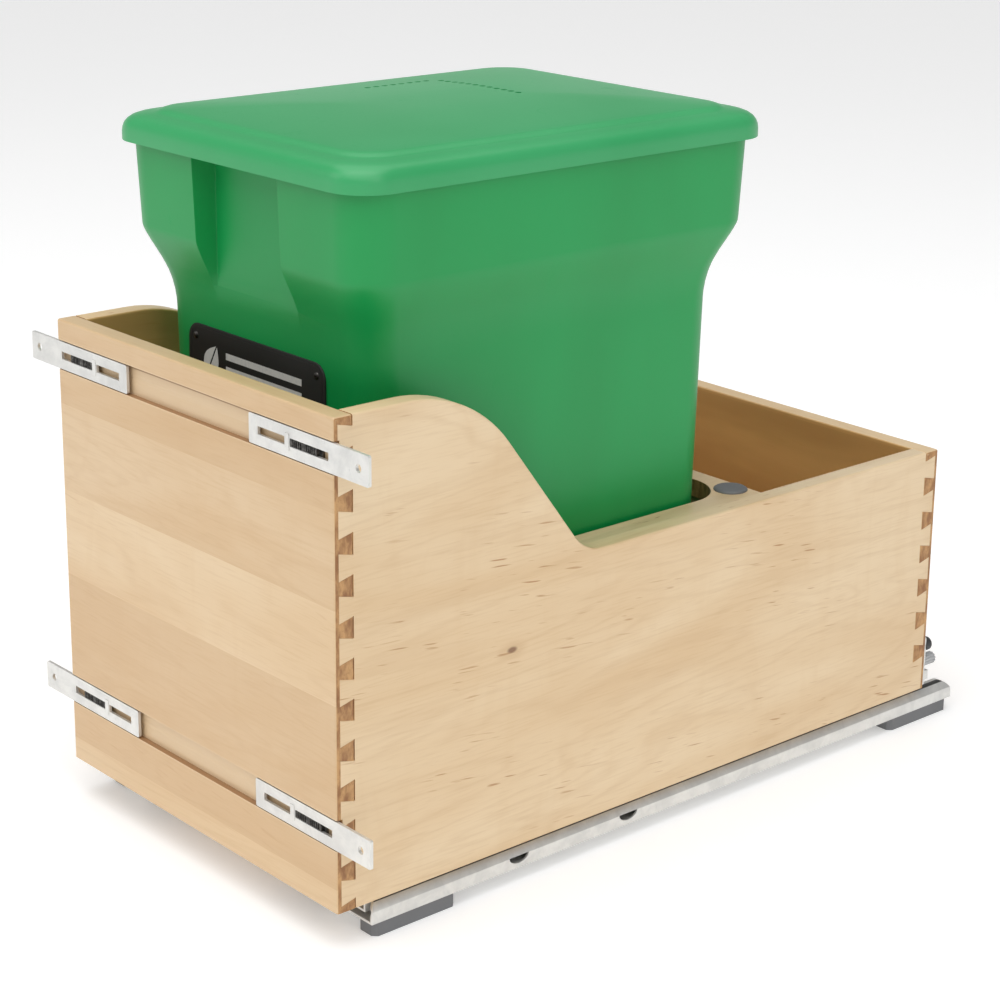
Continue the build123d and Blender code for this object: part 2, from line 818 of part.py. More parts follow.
# ---------------------------------------------------------------- feet
for place, (low, high) in zip(("front", "rear"), foot_spans):
    with BuildPart() as foot:
        block(foot_x, (low, high), (0, foot_height))
        chamfer(foot.edges().filter_by(Axis.Z), foot_corner)
        with BuildSketch(Plane.XY):
            with Locations(((foot_x[0] + foot_x[1]) / 2, low + foot_hole_inset)):
                Circle(foot_hole / 2)
        extrude(amount=foot_height, mode=Mode.SUBTRACT)
        with BuildSketch(Plane.XY.offset(foot_height)):
            with Locations(((foot_x[0] + foot_x[1]) / 2, high - foot_hole_inset)):
                Circle(stud_diameter / 2 + stud_clearance)
        extrude(amount=-foot_height + foot_screw_floor, mode=Mode.SUBTRACT)
    write_pair(foot, f"foot_{place}")

with BuildPart() as foot_screws:
    spots = [
        (sign * (foot_x[0] + foot_x[1]) / 2, high - foot_hole_inset)
        for sign in (-1, 1)
        for low, high in foot_spans
    ]
    with BuildSketch(Plane.XY.offset(foot_height + sheet)):
        with Locations(*spots):
            Circle(foot_screw_head / 2)
    extrude(amount=foot_screw_rise)
    with BuildSketch(Plane.XY.offset(foot_height + sheet)):
        with Locations(*spots):
            Circle(stud_diameter / 2)
    extrude(amount=-foot_height - sheet + foot_screw_floor + foot_screw_gap)
write(foot_screws, "foot_screws")

# ---------------------------------------------------------------- clips under the drawer's front
clip_x = (drawer_rail_inner_x - panel_gap - clip_width, drawer_rail_inner_x - panel_gap)
clip_y = (inner_front_y + panel_gap, inner_front_y + panel_gap + clip_length)
clip_screw_y = clip_y[0] + clip_length / 2 + clip_screw_shift
clip_screw_x = (clip_x[0] + clip_screw_inset, clip_x[1] - clip_screw_inset)

with BuildPart() as clip:
    block(clip_x, clip_y, (floor_z - clip_height, floor_z))
    fillet(clip.edges().filter_by(Axis.Z).group_by(Axis.X)[0], clip_wall)
    block(
        inset_span(clip_x, clip_wall),
        (clip_y[0] + clip_wall, clip_y[0] + clip_wall + clip_finger_gap),
        (floor_z - clip_height, floor_z - clip_skin),
        mode=Mode.SUBTRACT,
    )
    with BuildSketch(Plane.XY.offset(floor_z)):
        with Locations(*[(x, clip_screw_y) for x in clip_screw_x]):
            Circle(stud_diameter / 2 + stud_clearance)
    extrude(amount=-clip_height, mode=Mode.SUBTRACT)
write_pair(clip, "front_clip")

with BuildPart() as clip_screws:
    spots = [(sign * x, clip_screw_y) for sign in (-1, 1) for x in clip_screw_x]
    with BuildSketch(Plane.XY.offset(floor_z - clip_height)):
        with Locations(*spots):
            Circle(stud_diameter / 2)
    extrude(amount=clip_height)
    with BuildSketch(Plane.XY.offset(floor_z - clip_height)):
        with Locations(*spots):
            Circle(stud_diameter)
    extrude(amount=-clip_screw_head)
write(clip_screws, "clip_screws")

# ---------------------------------------------------------------- rear plates, wheels and knobs
with BuildPart() as rear_plate:
    block(
        (half_width - plate_edge - rear_plate_width, half_width - plate_edge),
        (rear_y, rear_y + sheet),
        (drawer_z + plate_edge, drawer_z + plate_edge + rear_plate_height),
    )
    fillet(rear_plate.edges().filter_by(Axis.Y), plate_corner)
    block(
        inset_span((half_width - plate_edge - rear_plate_width, half_width - plate_edge), rear_arm_inset),
        (rear_y, rear_y + rear_arm_reach),
        (drawer_z + rear_arm_z, drawer_z + rear_arm_z + rear_arm_height),
    )
    with BuildSketch(across(rear_y)):
        with Locations(*[(stud_x, drawer_z + z) for z in (wheel_z, knob_z)]):
            Circle(stud_diameter / 2 + stud_clearance)
    extrude(amount=-sheet, mode=Mode.SUBTRACT)
write_pair(rear_plate, "rear_plate")

with BuildPart() as wheel:
    with BuildSketch(across(rear_y + sheet + running_gap)):
        with Locations((stud_x, drawer_z + wheel_z)):
            Circle(wheel_diameter / 2)
            with PolarLocations(wheel_diameter / 2, wheel_ribs):
                Circle(rib_radius, mode=Mode.SUBTRACT)
    extrude(amount=-wheel_length)
    with BuildSketch(across(rear_y + sheet + running_gap)):
        with Locations((stud_x, drawer_z + wheel_z)):
            Circle(stud_diameter / 2)
    extrude(amount=sheet + running_gap + board - stud_floor)
write_pair(wheel, "adjuster_wheel")

with BuildPart() as knob:
    with BuildSketch(across(rear_y + sheet)):
        with Locations((stud_x, drawer_z + knob_z)):
            Circle(knob_diameter / 2)
    extrude(amount=-knob_length)
    fillet(knob.edges().group_by(Axis.Y)[-1], edge_ease)
    with BuildSketch(across(rear_y + sheet)):
        with Locations((stud_x, drawer_z + knob_z)):
            Circle(stud_diameter / 2)
    extrude(amount=sheet + board - stud_floor)
write_pair(knob, "rear_knob")

# ---------------------------------------------------------------- door brackets and their clamps
bracket_front_y = front_y - bracket_proud
bracket_back_y = bracket_front_y + bracket_thickness
bracket_outer_x = half_width + bracket_reach
bracket_inner_x = bracket_outer_x - bracket_length
slot_one_x = (bracket_inner_x + slot_inset, bracket_inner_x + slot_inset + inner_slot)
slot_two_x = (slot_one_x[1] + bridge_width, slot_one_x[1] + bridge_width + outer_slot)


def slot_sketch(span, z):
    """A horizontal slot with eased corners."""
    with Locations(((span[0] + span[1]) / 2, z)):
        RectangleRounded(span[1] - span[0], slot_height, slot_corner)


for level, z in (("upper", drawer_z + groove_high_z), ("lower", drawer_z + groove_low_z)):
    with BuildPart() as bracket:
        block(
            (bracket_inner_x, bracket_outer_x),
            (bracket_front_y, bracket_back_y),
            (z - bracket_height / 2, z + bracket_height / 2),
        )
        fillet(bracket.edges().filter_by(Axis.Y), bracket_corner)
        with BuildSketch(across(bracket_front_y)):
            slot_sketch(slot_one_x, z)
            slot_sketch(slot_two_x, z)
            with Locations((bracket_outer_x - bracket_hole_inset, z)):
                Circle(bracket_end_hole / 2)
        extrude(amount=-bracket_thickness, mode=Mode.SUBTRACT)
        block(
            (slot_one_x[1] + bridge_gap, slot_two_x[0] - bridge_gap),
            (bracket_front_y - bridge_proud, bracket_front_y),
            (z - bridge_height / 2, z + bridge_height / 2),
        )
    write_pair(bracket, f"{level}_bracket")

with BuildPart() as clamps:
    clamp_back_y = front_y + groove_depth
    for x, z in clamp_centres():
        block(
            (x - clamp_length / 2 - clamp_lip, x + clamp_length / 2 + clamp_lip),
            (clamp_back_y - clamp_plate, clamp_back_y),
            (z - clamp_height / 2, z + clamp_height / 2),
        )
        block(
            (x - clamp_length / 2, x + clamp_length / 2),
            (front_y, clamp_back_y - clamp_plate),
            (z - slot_height / 2 + running_gap, z + slot_height / 2 - running_gap),
        )
    with BuildSketch(across(front_y)):
        for x, z in clamp_centres():
            for side in (-1, 1):
                with Locations((x + side * clamp_length / 4, z)):
                    with GridLocations(tooth_pitch, 0, tooth_count, 1):
                        Rectangle(tooth_pitch / 2, slot_height)
    extrude(amount=-tooth_depth, mode=Mode.SUBTRACT)
    with BuildSketch(across(front_y)):
        with Locations(*clamp_centres()):
            Circle(clamp_screw / 2 + stud_clearance)
    extrude(amount=-groove_depth, mode=Mode.SUBTRACT)
write(clamps, "bracket_clamps")

with BuildPart() as clamp_screws:
    with BuildSketch(across(front_y)):
        with Locations(*clamp_centres()):
            Circle(clamp_screw / 2)
    extrude(amount=-board + 2)
write(clamp_screws, "clamp_screws")
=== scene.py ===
"""Finishes the packed frame of a pull-out waste bin: materials for its boards, slides and
hardware, a smooth moulded bin and lid, a nameplate, and a plain studio around them."""

import math

import bmesh
import bpy
from bpy.props import FloatProperty, FloatVectorProperty, IntProperty, PointerProperty
from bpy.types import Operator, Panel, PropertyGroup
from mathutils import Matrix, Vector


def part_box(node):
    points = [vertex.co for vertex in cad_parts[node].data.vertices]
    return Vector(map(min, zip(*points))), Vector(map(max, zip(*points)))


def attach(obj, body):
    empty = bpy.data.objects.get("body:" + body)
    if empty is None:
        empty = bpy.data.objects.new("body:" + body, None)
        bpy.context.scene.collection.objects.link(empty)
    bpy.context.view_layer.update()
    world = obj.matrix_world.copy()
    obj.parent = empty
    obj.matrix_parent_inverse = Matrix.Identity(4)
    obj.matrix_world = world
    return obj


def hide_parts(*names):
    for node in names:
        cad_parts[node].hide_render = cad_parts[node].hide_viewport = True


bl_info = {
    "name": "Pull-out Waste Bin",
    "version": (1, 0, 0),
    "blender": (4, 5, 0),
    "location": "3D View > Sidebar > Waste Bin",
    "description": "Finishes a pull-out waste bin: boards, moulded bin and lid, slides, hardware and stage",
    "category": "Object",
}

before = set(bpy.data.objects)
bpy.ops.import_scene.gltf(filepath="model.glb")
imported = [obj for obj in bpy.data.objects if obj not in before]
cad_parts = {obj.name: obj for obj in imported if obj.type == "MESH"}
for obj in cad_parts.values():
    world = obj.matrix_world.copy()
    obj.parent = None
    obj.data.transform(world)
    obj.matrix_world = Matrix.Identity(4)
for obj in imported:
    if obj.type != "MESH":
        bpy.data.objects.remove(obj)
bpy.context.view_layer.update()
MM = 0.001
SIDES = ("left", "right")


def linear(red, green, blue):
    """A colour given in 0 to 255 display values, as the shader wants it."""
    return tuple((value / 255) ** 2.2 for value in (red, green, blue)) + (1.0,)


# ------------------------------------------------------------------ shader helpers
class Wire:
    """A shader socket that adds a Math node for each sign it meets in an expression."""

    def __init__(self, finish, socket):
        self.finish = finish
        self.socket = socket

    def sum(self, operation, *values):
        """One Math node."""
        return self.finish.node("ShaderNodeMath", {"operation": operation}, dict(enumerate(values)))

    def __add__(self, other):
        return self.sum("ADD", self, other)

    def __sub__(self, other):
        return self.sum("SUBTRACT", self, other)

    def __mul__(self, other):
        return self.sum("MULTIPLY", self, other)

    def __truediv__(self, other):
        return self.sum("DIVIDE", self, other)

    def __rsub__(self, other):
        return self.sum("SUBTRACT", other, self)

    __radd__ = __add__
    __rmul__ = __mul__

    def size(self):
        """The value without its sign."""
        return self.sum("ABSOLUTE", self)

    def cell(self):
        """The whole number below the value."""
        return self.sum("FLOOR", self)

    def band(self, low, high):
        """A smooth climb from 0 at low to 1 at high."""
        options = {"interpolation_type": "SMOOTHSTEP"}
        sockets = {"Value": self, "From Min": low, "From Max": high}
        return self.finish.node("ShaderNodeMapRange", options, sockets)


class Finish:
    """One material and the nodes that make it."""

    def __init__(self, name, roughness=0.5, metallic=0.0, coat=0.0, coat_roughness=0.2):
        self.material = bpy.data.materials.new(name)
        self.material.use_nodes = True
        self.tree = self.material.node_tree
        self.surface = self.tree.nodes["Principled BSDF"]
        self.set("Roughness", roughness)
        self.set("Metallic", metallic)
        self.set("Coat Weight", coat)
        self.surface.inputs["Coat Roughness"].default_value = coat_roughness

    def node(self, kind, options=None, sockets=None, output=0):
        """A node with its options set first and its sockets filled or linked after."""
        made = self.tree.nodes.new(kind)
        for key, value in (options or {}).items():
            setattr(made, key, value)
        for key, value in (sockets or {}).items():
            self.fill(made.inputs[key], value)
        return Wire(self, made.outputs[output])

    def fill(self, target, value):
        """Link a wire to a socket, or set the socket's own value."""
        if isinstance(value, Wire):
            self.tree.links.new(value.socket, target)
        else:
            target.default_value = value

    def set(self, name, value):
        """Fill one of the surface's sockets."""
        self.fill(self.surface.inputs[name], value)

    def place(self):
        """The three object coordinates."""
        wire = self.node("ShaderNodeTexCoord", output=3)
        split = self.node("ShaderNodeSeparateXYZ", sockets={0: wire}).socket.node
        return [Wire(self, split.outputs[axis]) for axis in range(3)]

    def facing(self):
        """How far the surface faces along each object axis, with its sign."""
        wire = self.node("ShaderNodeTexCoord", output=1)
        split = self.node("ShaderNodeSeparateXYZ", sockets={0: wire}).socket.node
        return [Wire(self, split.outputs[axis]) for axis in range(3)]

    def point(self, x, y, z):
        """A vector from three values."""
        return self.node("ShaderNodeCombineXYZ", sockets={0: x, 1: y, 2: z})

    def noise(self, vector, scale, detail=2.0, roughness=0.5, distortion=0.0):
        """Cloudy noise, 0 to 1."""
        sockets = {
            "Vector": vector,
            "Scale": scale,
            "Detail": detail,
            "Roughness": roughness,
            "Distortion": distortion,
        }
        return self.node("ShaderNodeTexNoise", None, sockets)

    def scatter(self, value):
        """A fixed chance number for each whole number."""
        return self.node("ShaderNodeTexWhiteNoise", {"noise_dimensions": "1D"}, {"W": value})

    def mix(self, factor, first, second):
        """One colour turning into another."""
        options = {"data_type": "RGBA"}
        return self.node("ShaderNodeMix", options, {0: factor, 6: first, 7: second}, output=2)

    def bump(self, height, strength, distance):
        """Raise the surface by a height."""
        sockets = {"Strength": strength, "Distance": distance, "Height": height}
        self.set("Normal", self.node("ShaderNodeBump", None, sockets))


# ------------------------------------------------------------------ finishes
def maple(name, grain, look, stave=0.0, seed=0.0, flecks=0.8, knot=None, inside=None, routed=None):
    """Lacquered maple. grain is the axis the fibres run along, stave the width of its glued
    staves, flecks the strength of its short dark marks, knot a place and a radius, inside a span of
    one axis whose faces lie within the drawer, which get painted shade, and routed the grooves,
    which get painted light and shade: how far back they reach, and the low and high edge of each."""
    finish = Finish(name, coat=0.18, coat_roughness=0.3)
    axes = finish.place()
    along = axes[grain]
    across, thick = [axes[axis] for axis in range(3) if axis != grain][::-1]
    shift = along + seed
    tint = 0.0
    if stave:
        tint = finish.scatter((across / stave + seed).cell() + seed)
        shift = along + tint * 3.0 + seed
    cloud = finish.noise(finish.point(shift * 3.0, across * 11.0, thick * 11.0), 1.0, 3.0, 0.55, 0.8)
    flame = finish.noise(finish.point(shift * 34.0, across * 9.0, thick * 9.0), 1.0, 3.0, 0.6, 0.9)
    figure = finish.noise(finish.point(shift * 2.2, across * 15.0, thick * 15.0), 1.0, 3.0, 0.55, 1.2)
    ring = (figure * 16.0).sum("PINGPONG", figure * 16.0, 1.0)
    fibre = finish.noise(finish.point(shift * 40.0, across * 700.0, thick * 700.0), 1.0, 2.0)
    slant = across + along * 0.12
    streak = finish.noise(finish.point(shift * 36.0, slant * 470.0, thick * 470.0), 1.0, 1.0)
    patch = finish.noise(finish.point(shift * 8.0, across * 14.0, thick * 14.0), 1.0, 2.0)
    fleck = streak.band(0.655, 0.75) * patch.band(0.48, 0.62)
    colour = finish.mix(cloud.band(0.3, 0.7), look.maple_light, look.maple_mid)
    colour = finish.mix(flame.band(0.45, 0.7) * 0.28, colour, look.maple_mid)
    if stave:
        colour = finish.mix(tint.band(0.35, 1.0) * 0.36 + 0.12, colour, look.maple_dark)
    colour = finish.mix(ring.band(0.5, 0.0) * 0.13, colour, look.maple_dark)
    colour = finish.mix(fibre.band(0.45, 0.75) * 0.16, colour, look.maple_dark)
    colour = finish.mix(fleck * flecks, colour, look.maple_fleck)
    if knot:
        centre, radius = knot
        offsets = [axes[axis] - centre[axis] for axis in range(3)]
        stretch = [0.5 if axis == grain else 1.0 for axis in range(3)]
        parts = [offset * offset * (scale * scale) for offset, scale in zip(offsets, stretch)]
        total = parts[0] + parts[1] + parts[2]
        reach = total.sum("SQRT", total)
        colour = finish.mix(reach.band(radius * 3.0, radius) * 0.3, colour, look.maple_dark)
        colour = finish.mix(reach.band(radius, radius * 0.4) * 0.8, colour, look.maple_knot)
    # Painted shade: faces within the drawer turn a darker, browner tone, with darker cloudy patches.
    if inside:
        axis, low, high = inside
        depth = axes[axis].band(low - MM, low) * axes[axis].band(high + MM, high)
        colour = finish.mix(depth * 0.85, colour, look.inside_painted_shade)
        colour = finish.mix(depth * cloud.band(0.35, 0.65) * 0.35, colour, look.end_dark)
    # Painted light and shade in the grooves: the strip is painted lighter against its own shade, the ledges
    # are painted dark as shade, and a painted shadow line runs along the floor under the upper lip.
    if routed:
        back, edges = routed
        depth = axes[1].band(back + MM, back)
        ledge = finish.facing()[2].size().band(0.6, 0.9)
        for low, high in edges:
            within = axes[2].band(low - MM, low) * axes[2].band(high + MM, high) * depth
            line = axes[2].band(high - MM * 3.2, high - MM * 2.5) * finish.facing()[1].size().band(0.6, 0.9)
            floor = axes[1].band(back - MM, back - MM * 0.5) * line
            colour = finish.mix(within * 0.55, colour, look.maple_light)
            colour = finish.mix(within * ledge * 0.8, colour, look.end_dark)
            colour = finish.mix(within * floor * 0.8, colour, look.end_dark)
    facing = finish.facing()[grain].size().band(0.72, 0.9)
    pores = finish.noise(finish.point(along * 90.0, across * 420.0, thick * 420.0), 1.0, 3.0, 0.65)
    arcs = finish.noise(finish.point(0.0, across * 60.0, thick * 150.0), 1.0, 3.0, 0.6)
    end = finish.mix(arcs.band(0.35, 0.65), look.end_light, look.end_dark)
    end = finish.mix(pores.band(0.5, 0.75) * 0.5, end, look.end_dark)
    colour = finish.mix(facing, colour, end)
    finish.set("Base Color", colour)
    finish.set("Roughness", 0.4 + fibre * 0.14 + facing * 0.12)
    finish.bump(fibre * 0.7 - fleck * 0.5 + pores * facing, 0.18, 0.00022)
    return finish.material


def plywood(name, look):
    """Veneered birch board: pale plain face, banded edges."""
    finish = Finish(name, coat=0.15)
    x, y, z = finish.place()
    figure = finish.noise(finish.point(x * 30.0, y * 2.2, z * 4.0), 1.0, 4.0, 0.6, 1.4)
    fibre = finish.noise(finish.point(x * 700.0, y * 24.0, z * 700.0), 1.0, 2.0)
    sockets = {"Vector": finish.point(x, y, z), "Scale": 250.0}
    ply = finish.node("ShaderNodeTexWave", {"bands_direction": "Z"}, sockets)
    rim = finish.facing()[2].band(0.7, 0.4)
    colour = finish.mix(figure.band(0.35, 0.7), look.maple_light, look.maple_mid)
    colour = finish.mix(fibre * 0.3, colour, look.maple_dark)
    colour = finish.mix(rim * ply, colour, look.end_dark)
    finish.set("Base Color", colour)
    finish.set("Roughness", 0.46 + fibre * 0.12)
    finish.bump(fibre, 0.15, 0.0002)
    return finish.material


def moulded(name, base, shade, grain=1700.0, roughness=0.36, relief=0.1):
    """Injection-moulded plastic: a fine spark-eroded grain, slight flow marks and scuffs."""
    finish = Finish(name)
    x, y, z = finish.place()
    flow = finish.noise(finish.point(x * 7.0, y * 7.0, z * 3.0), 1.0, 3.0, 0.5, 0.4)
    speck = finish.noise(finish.point(x, y, z), grain, 2.0, 0.6)
    scuff = finish.noise(finish.point(x * 60.0, y * 60.0, z * 14.0), 1.0, 5.0, 0.75, 1.2)
    colour = finish.mix(flow.band(0.3, 0.7), base, shade)
    colour = finish.mix(speck.band(0.55, 0.8) * 0.12, colour, shade)
    finish.set("Base Color", colour)
    finish.set("Roughness", roughness + speck * 0.1 + scuff.band(0.6, 0.75) * 0.1)
    finish.bump(speck, relief, 0.0002)
    return finish.material


def zinc(name, look, grain, shadow_corner=None):
    """Zinc-plated sheet: faint rolling lines along one axis, cloudy spangle and dull spots.
    The optional last argument is the outer top corner of a rail; near that edge a dark band of painted
    shadow lies along the rail's top."""
    finish = Finish(name, metallic=1.0)
    axes = finish.place()
    scales = [6.0 if axis == grain else 900.0 for axis in range(3)]
    lines = finish.noise(finish.point(*[axis * scale for axis, scale in zip(axes, scales)]), 1.0, 2.0)
    cloud = finish.noise(finish.point(*axes), 55.0, 4.0, 0.65, 0.5)
    dull = finish.noise(finish.point(*axes), 210.0, 3.0, 0.7)
    colour = finish.mix(cloud.band(0.3, 0.7) * 0.55, look.zinc_light, look.zinc_dark)
    colour = finish.mix(dull.band(0.64, 0.76) * 0.25, colour, look.zinc_dull)
    # Painted shadow: a dark band along the rail's top near its outer edge, under the drawer side.
    if shadow_corner:
        top, outer = shadow_corner.z, shadow_corner.x
        painted_shadow = axes[2].band(top - MM * 1.1, top - MM * 0.8)
        painted_shadow = painted_shadow * axes[0].size().band(outer - MM * 8, outer - MM * 7)
        colour = finish.mix(painted_shadow * 0.9, colour, look.rail_shadow)
    finish.set("Base Color", colour)
    finish.set("Metallic", 0.7 - dull.band(0.6, 0.75) * 0.2)
    finish.set("Roughness", 0.4 + lines * 0.12 + cloud * 0.05)
    finish.bump(lines, 0.08, 0.0001)
    return finish.material


def plated(name, base, worn, roughness=0.34, metallic=1.0):
    """A small turned or stamped metal part, rubbed brighter here and there."""
    finish = Finish(name, metallic=metallic)
    place = finish.point(*finish.place())
    rub = finish.noise(place, 340.0, 4.0, 0.7)
    speck = finish.noise(place, 1500.0, 2.0)
    finish.set("Base Color", finish.mix(rub.band(0.45, 0.7), base, worn))
    finish.set("Roughness", roughness + speck * 0.16)
    finish.bump(speck + rub, 0.15, 0.0002)
    return finish.material


def felt(name, look):
    """Needled charcoal felt: matted fibres with paler ends."""
    finish = Finish(name, roughness=0.95)
    place = finish.point(*finish.place())
    mat = finish.noise(place, 900.0, 5.0, 0.8, 2.0)
    finish.set("Base Color", finish.mix(mat.band(0.35, 0.7), look.felt_dark, look.felt_pale))
    finish.bump(mat, 0.7, 0.0006)
    return finish.material


def studio_paper(name, colour, glow):
    """Pale seamless sheet with a faint tooth, lit a little from behind."""
    finish = Finish(name, roughness=0.9)
    place = finish.point(*finish.place())
    tooth = finish.noise(place, 500.0, 3.0)
    shade = tuple(value * 0.985 for value in colour[:3]) + (1.0,)
    finish.set("Base Color", finish.mix(tooth, colour, shade))
    finish.set("Emission Color", finish.mix(tooth, colour, shade))
    finish.surface.inputs["Emission Strength"].default_value = glow
    return finish.material


# ------------------------------------------------------------------ mesh helpers
def finished(name, mesh, body, material, nodes=(), smooth=40.0):
    """Turn a bmesh into a piece that rides on a body and stands for its CAD nodes."""
    bmesh.ops.remove_doubles(mesh, verts=mesh.verts, dist=1e-6)
    bmesh.ops.recalc_face_normals(mesh, faces=mesh.faces)
    data = bpy.data.meshes.new(name)
    mesh.to_mesh(data)
    mesh.free()
    data.shade_smooth()
    data.set_sharp_from_angle(angle=math.radians(smooth))
    piece = bpy.data.objects.new(name, data)
    bpy.context.scene.collection.objects.link(piece)
    data.materials.append(material)
    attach(piece, body)
    if nodes:
        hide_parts(*nodes)
    return piece


def add_modifier(piece, kind, **options):
    """A live modifier with its options."""
    modifier = piece.modifiers.new(kind.title(), kind)
    for key, value in options.items():
        setattr(modifier, key, value)


def settle(piece):
    """Make a piece's modifiers part of its mesh."""
    graph = bpy.context.evaluated_depsgraph_get()
    data = bpy.data.meshes.new_from_object(piece.evaluated_get(graph))
    piece.modifiers.clear()
    piece.data = data


def rounded_face(mesh, half_x, half_y, radius, z, segments=8):
    """A flat rounded rectangle centred on the Z axis. Returns its face."""
    corners = bmesh.ops.create_grid(mesh, x_segments=1, y_segments=1, size=1.0)["verts"]
    bmesh.ops.scale(mesh, vec=(half_x, half_y, 1), verts=corners)
    bmesh.ops.translate(mesh, vec=(0, 0, z), verts=corners)
    bmesh.ops.bevel(
        mesh,
        geom=corners,
        offset=radius,
        offset_type="OFFSET",
        segments=segments,
        profile=0.5,
        affect="VERTICES",
        material=-1,
    )
    mesh.faces.ensure_lookup_table()
    return mesh.faces[-1]


def stacked_walls(mesh, sections, radius, segments=8):
    """Walls through a stack of (height, half width, half length) outlines. Returns the last face."""
    z, half_x, half_y = sections[0]
    face = rounded_face(mesh, half_x, half_y, radius, z, segments)
    for next_z, next_x, next_y in sections[1:]:
        made = bmesh.ops.extrude_face_region(mesh, geom=[face])["geom"]
        outline = [item for item in made if isinstance(item, bmesh.types.BMVert)]
        bmesh.ops.translate(mesh, vec=(0, 0, next_z - z), verts=outline)
        bmesh.ops.scale(mesh, vec=(next_x / half_x, next_y / half_y, 1), verts=outline)
        bmesh.ops.delete(mesh, geom=[face], context="FACES_ONLY")
        face = [item for item in made if isinstance(item, bmesh.types.BMFace)][0]
        z, half_x, half_y = next_z, next_x, next_y
    return face


def cut_across(mesh, place, normal):
    """Add a loop of edges where a plane meets the mesh."""
    geometry = mesh.verts[:] + mesh.edges[:] + mesh.faces[:]
    bmesh.ops.bisect_plane(mesh, geom=geometry, dist=1e-6, plane_co=place, plane_no=normal)


def slab(mesh, low, high):
    """A box between two corners."""
    verts = bmesh.ops.create_cube(mesh, size=1.0)["verts"]
    bmesh.ops.scale(mesh, vec=high - low, verts=verts)
    bmesh.ops.translate(mesh, vec=(low + high) / 2, verts=verts)


def turned(mesh, outline, centre, axis, steps=32):
    """Spin an outline of (radius, height) points about an axis through a centre."""
    before = set(mesh.verts)
    verts = [mesh.verts.new((radius, 0, height)) for radius, height in outline]
    edges = [mesh.edges.new(pair) for pair in zip(verts, verts[1:])]
    bmesh.ops.spin(
        mesh,
        geom=verts + edges,
        cent=(0, 0, 0),
        axis=(0, 0, 1),
        dvec=(0, 0, 0),
        angle=math.tau,
        steps=steps,
        use_merge=True,
        use_duplicate=False,
    )
    made = [vert for vert in mesh.verts if vert not in before]
    turn = Vector((0, 0, 1)).rotation_difference(Vector(axis)).to_matrix().to_4x4()
    bmesh.ops.transform(mesh, matrix=Matrix.Translation(centre) @ turn, verts=made)


def eased_twin(node, body, material, width, angle=35.0):
    """A copy of a CAD node with its facets merged and its sharp edges eased."""
    mesh = bmesh.new()
    mesh.from_mesh(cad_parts[node].data)
    bmesh.ops.remove_doubles(mesh, verts=mesh.verts, dist=2e-6)
    bmesh.ops.dissolve_limit(
        mesh, angle_limit=math.radians(0.5), verts=mesh.verts, edges=mesh.edges, delimit={"SHARP"},
    )
    piece = finished(f"{node}_finish", mesh, body, material, [node], angle)
    add_modifier(
        piece, "BEVEL", width=width, segments=2, limit_method="ANGLE",
        angle_limit=math.radians(angle), use_clamp_overlap=True, harden_normals=False,
    )
    return piece


def dress(node, material):
    """Give a CAD node that stays as it is a finished material."""
    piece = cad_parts[node]
    if not piece.material_slots:
        piece.data.materials.append(material)
    for place in piece.material_slots:
        place.material = material


def centre_of(node):
    """The middle of a CAD node's box."""
    low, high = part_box(node)
    return (low + high) / 2


# ------------------------------------------------------------------ settings
def swatch(name, description, red, green, blue):
    """A colour setting whose default is given in 0 to 255 display values."""
    return FloatVectorProperty(
        name=name, description=description, default=linear(red, green, blue), size=4, subtype="COLOR"
    )


class StageLook(PropertyGroup):
    """Camera, light and floor."""

    focal_length: FloatProperty(
        name="Focal length", description="Lens of the camera in millimetres", default=86.7, min=10.0
    )
    camera_place: FloatVectorProperty(
        name="Camera place",
        description="Where the camera stands",
        default=(1.157489, -1.051286, 0.704205),
        subtype="TRANSLATION",
    )
    camera_turn: FloatVectorProperty(
        name="Camera turn",
        description="Azimuth, pitch below the horizon and roll of the camera",
        default=(0.849553, 0.288126, 0.011168),
        subtype="EULER",
    )
    camera_shift: FloatProperty(
        name="Camera shift", description="Upward shift of the lens in sensor widths", default=-0.08
    )
    key_power: FloatProperty(
        name="Key light", description="Power of the large light overhead", default=21.0, unit="POWER"
    )
    fill_power: FloatProperty(
        name="Fill light", description="Power of each of the two front lights", default=8.8, unit="POWER"
    )
    sun_strength: FloatProperty(
        name="Even light", description="Strength of the wide soft sun", default=1.42
    )
    air_light: FloatProperty(
        name="Room light", description="Strength of the even white surroundings", default=0.23
    )
    horizon_light: FloatProperty(
        name="Horizon light", description="Strength of the surroundings along the horizon", default=0.86
    )
    paper_glow: FloatProperty(
        name="Paper glow", description="Light that comes through the floor sheet", default=0.26
    )
    paper: FloatVectorProperty(
        name="Paper", description="Colour of the floor", default=(0.9, 0.9, 0.9), size=3, subtype="COLOR"
    )


class WoodLook(PropertyGroup):
    """Colours and eased edges of the boards."""

    maple_light: swatch("Pale maple", "Lightest face grain", 232, 207, 170)
    maple_mid: swatch("Middle maple", "Usual face grain", 221, 190, 148)
    maple_dark: swatch("Dark maple", "Late wood of the growth figure", 192, 152, 106)
    maple_fleck: swatch("Fleck", "Short dark flecks", 168, 112, 60)
    maple_knot: swatch("Knot", "Eye of the knot", 112, 70, 42)
    # Painted shade colour for the faces within the drawer.
    inside_painted_shade: swatch("Painted inside shade", "Painted shade on faces within the drawer", 216, 164, 96)
    end_light: swatch("Pale end grain", "Pale arcs of the end grain", 196, 150, 98)
    end_dark: swatch("Dark end grain", "Dark arcs of the end grain", 142, 96, 56)
    edge_ease: FloatProperty(
        name="Eased edge", description="Width of the sanded edges", default=0.0004, unit="LENGTH"
    )


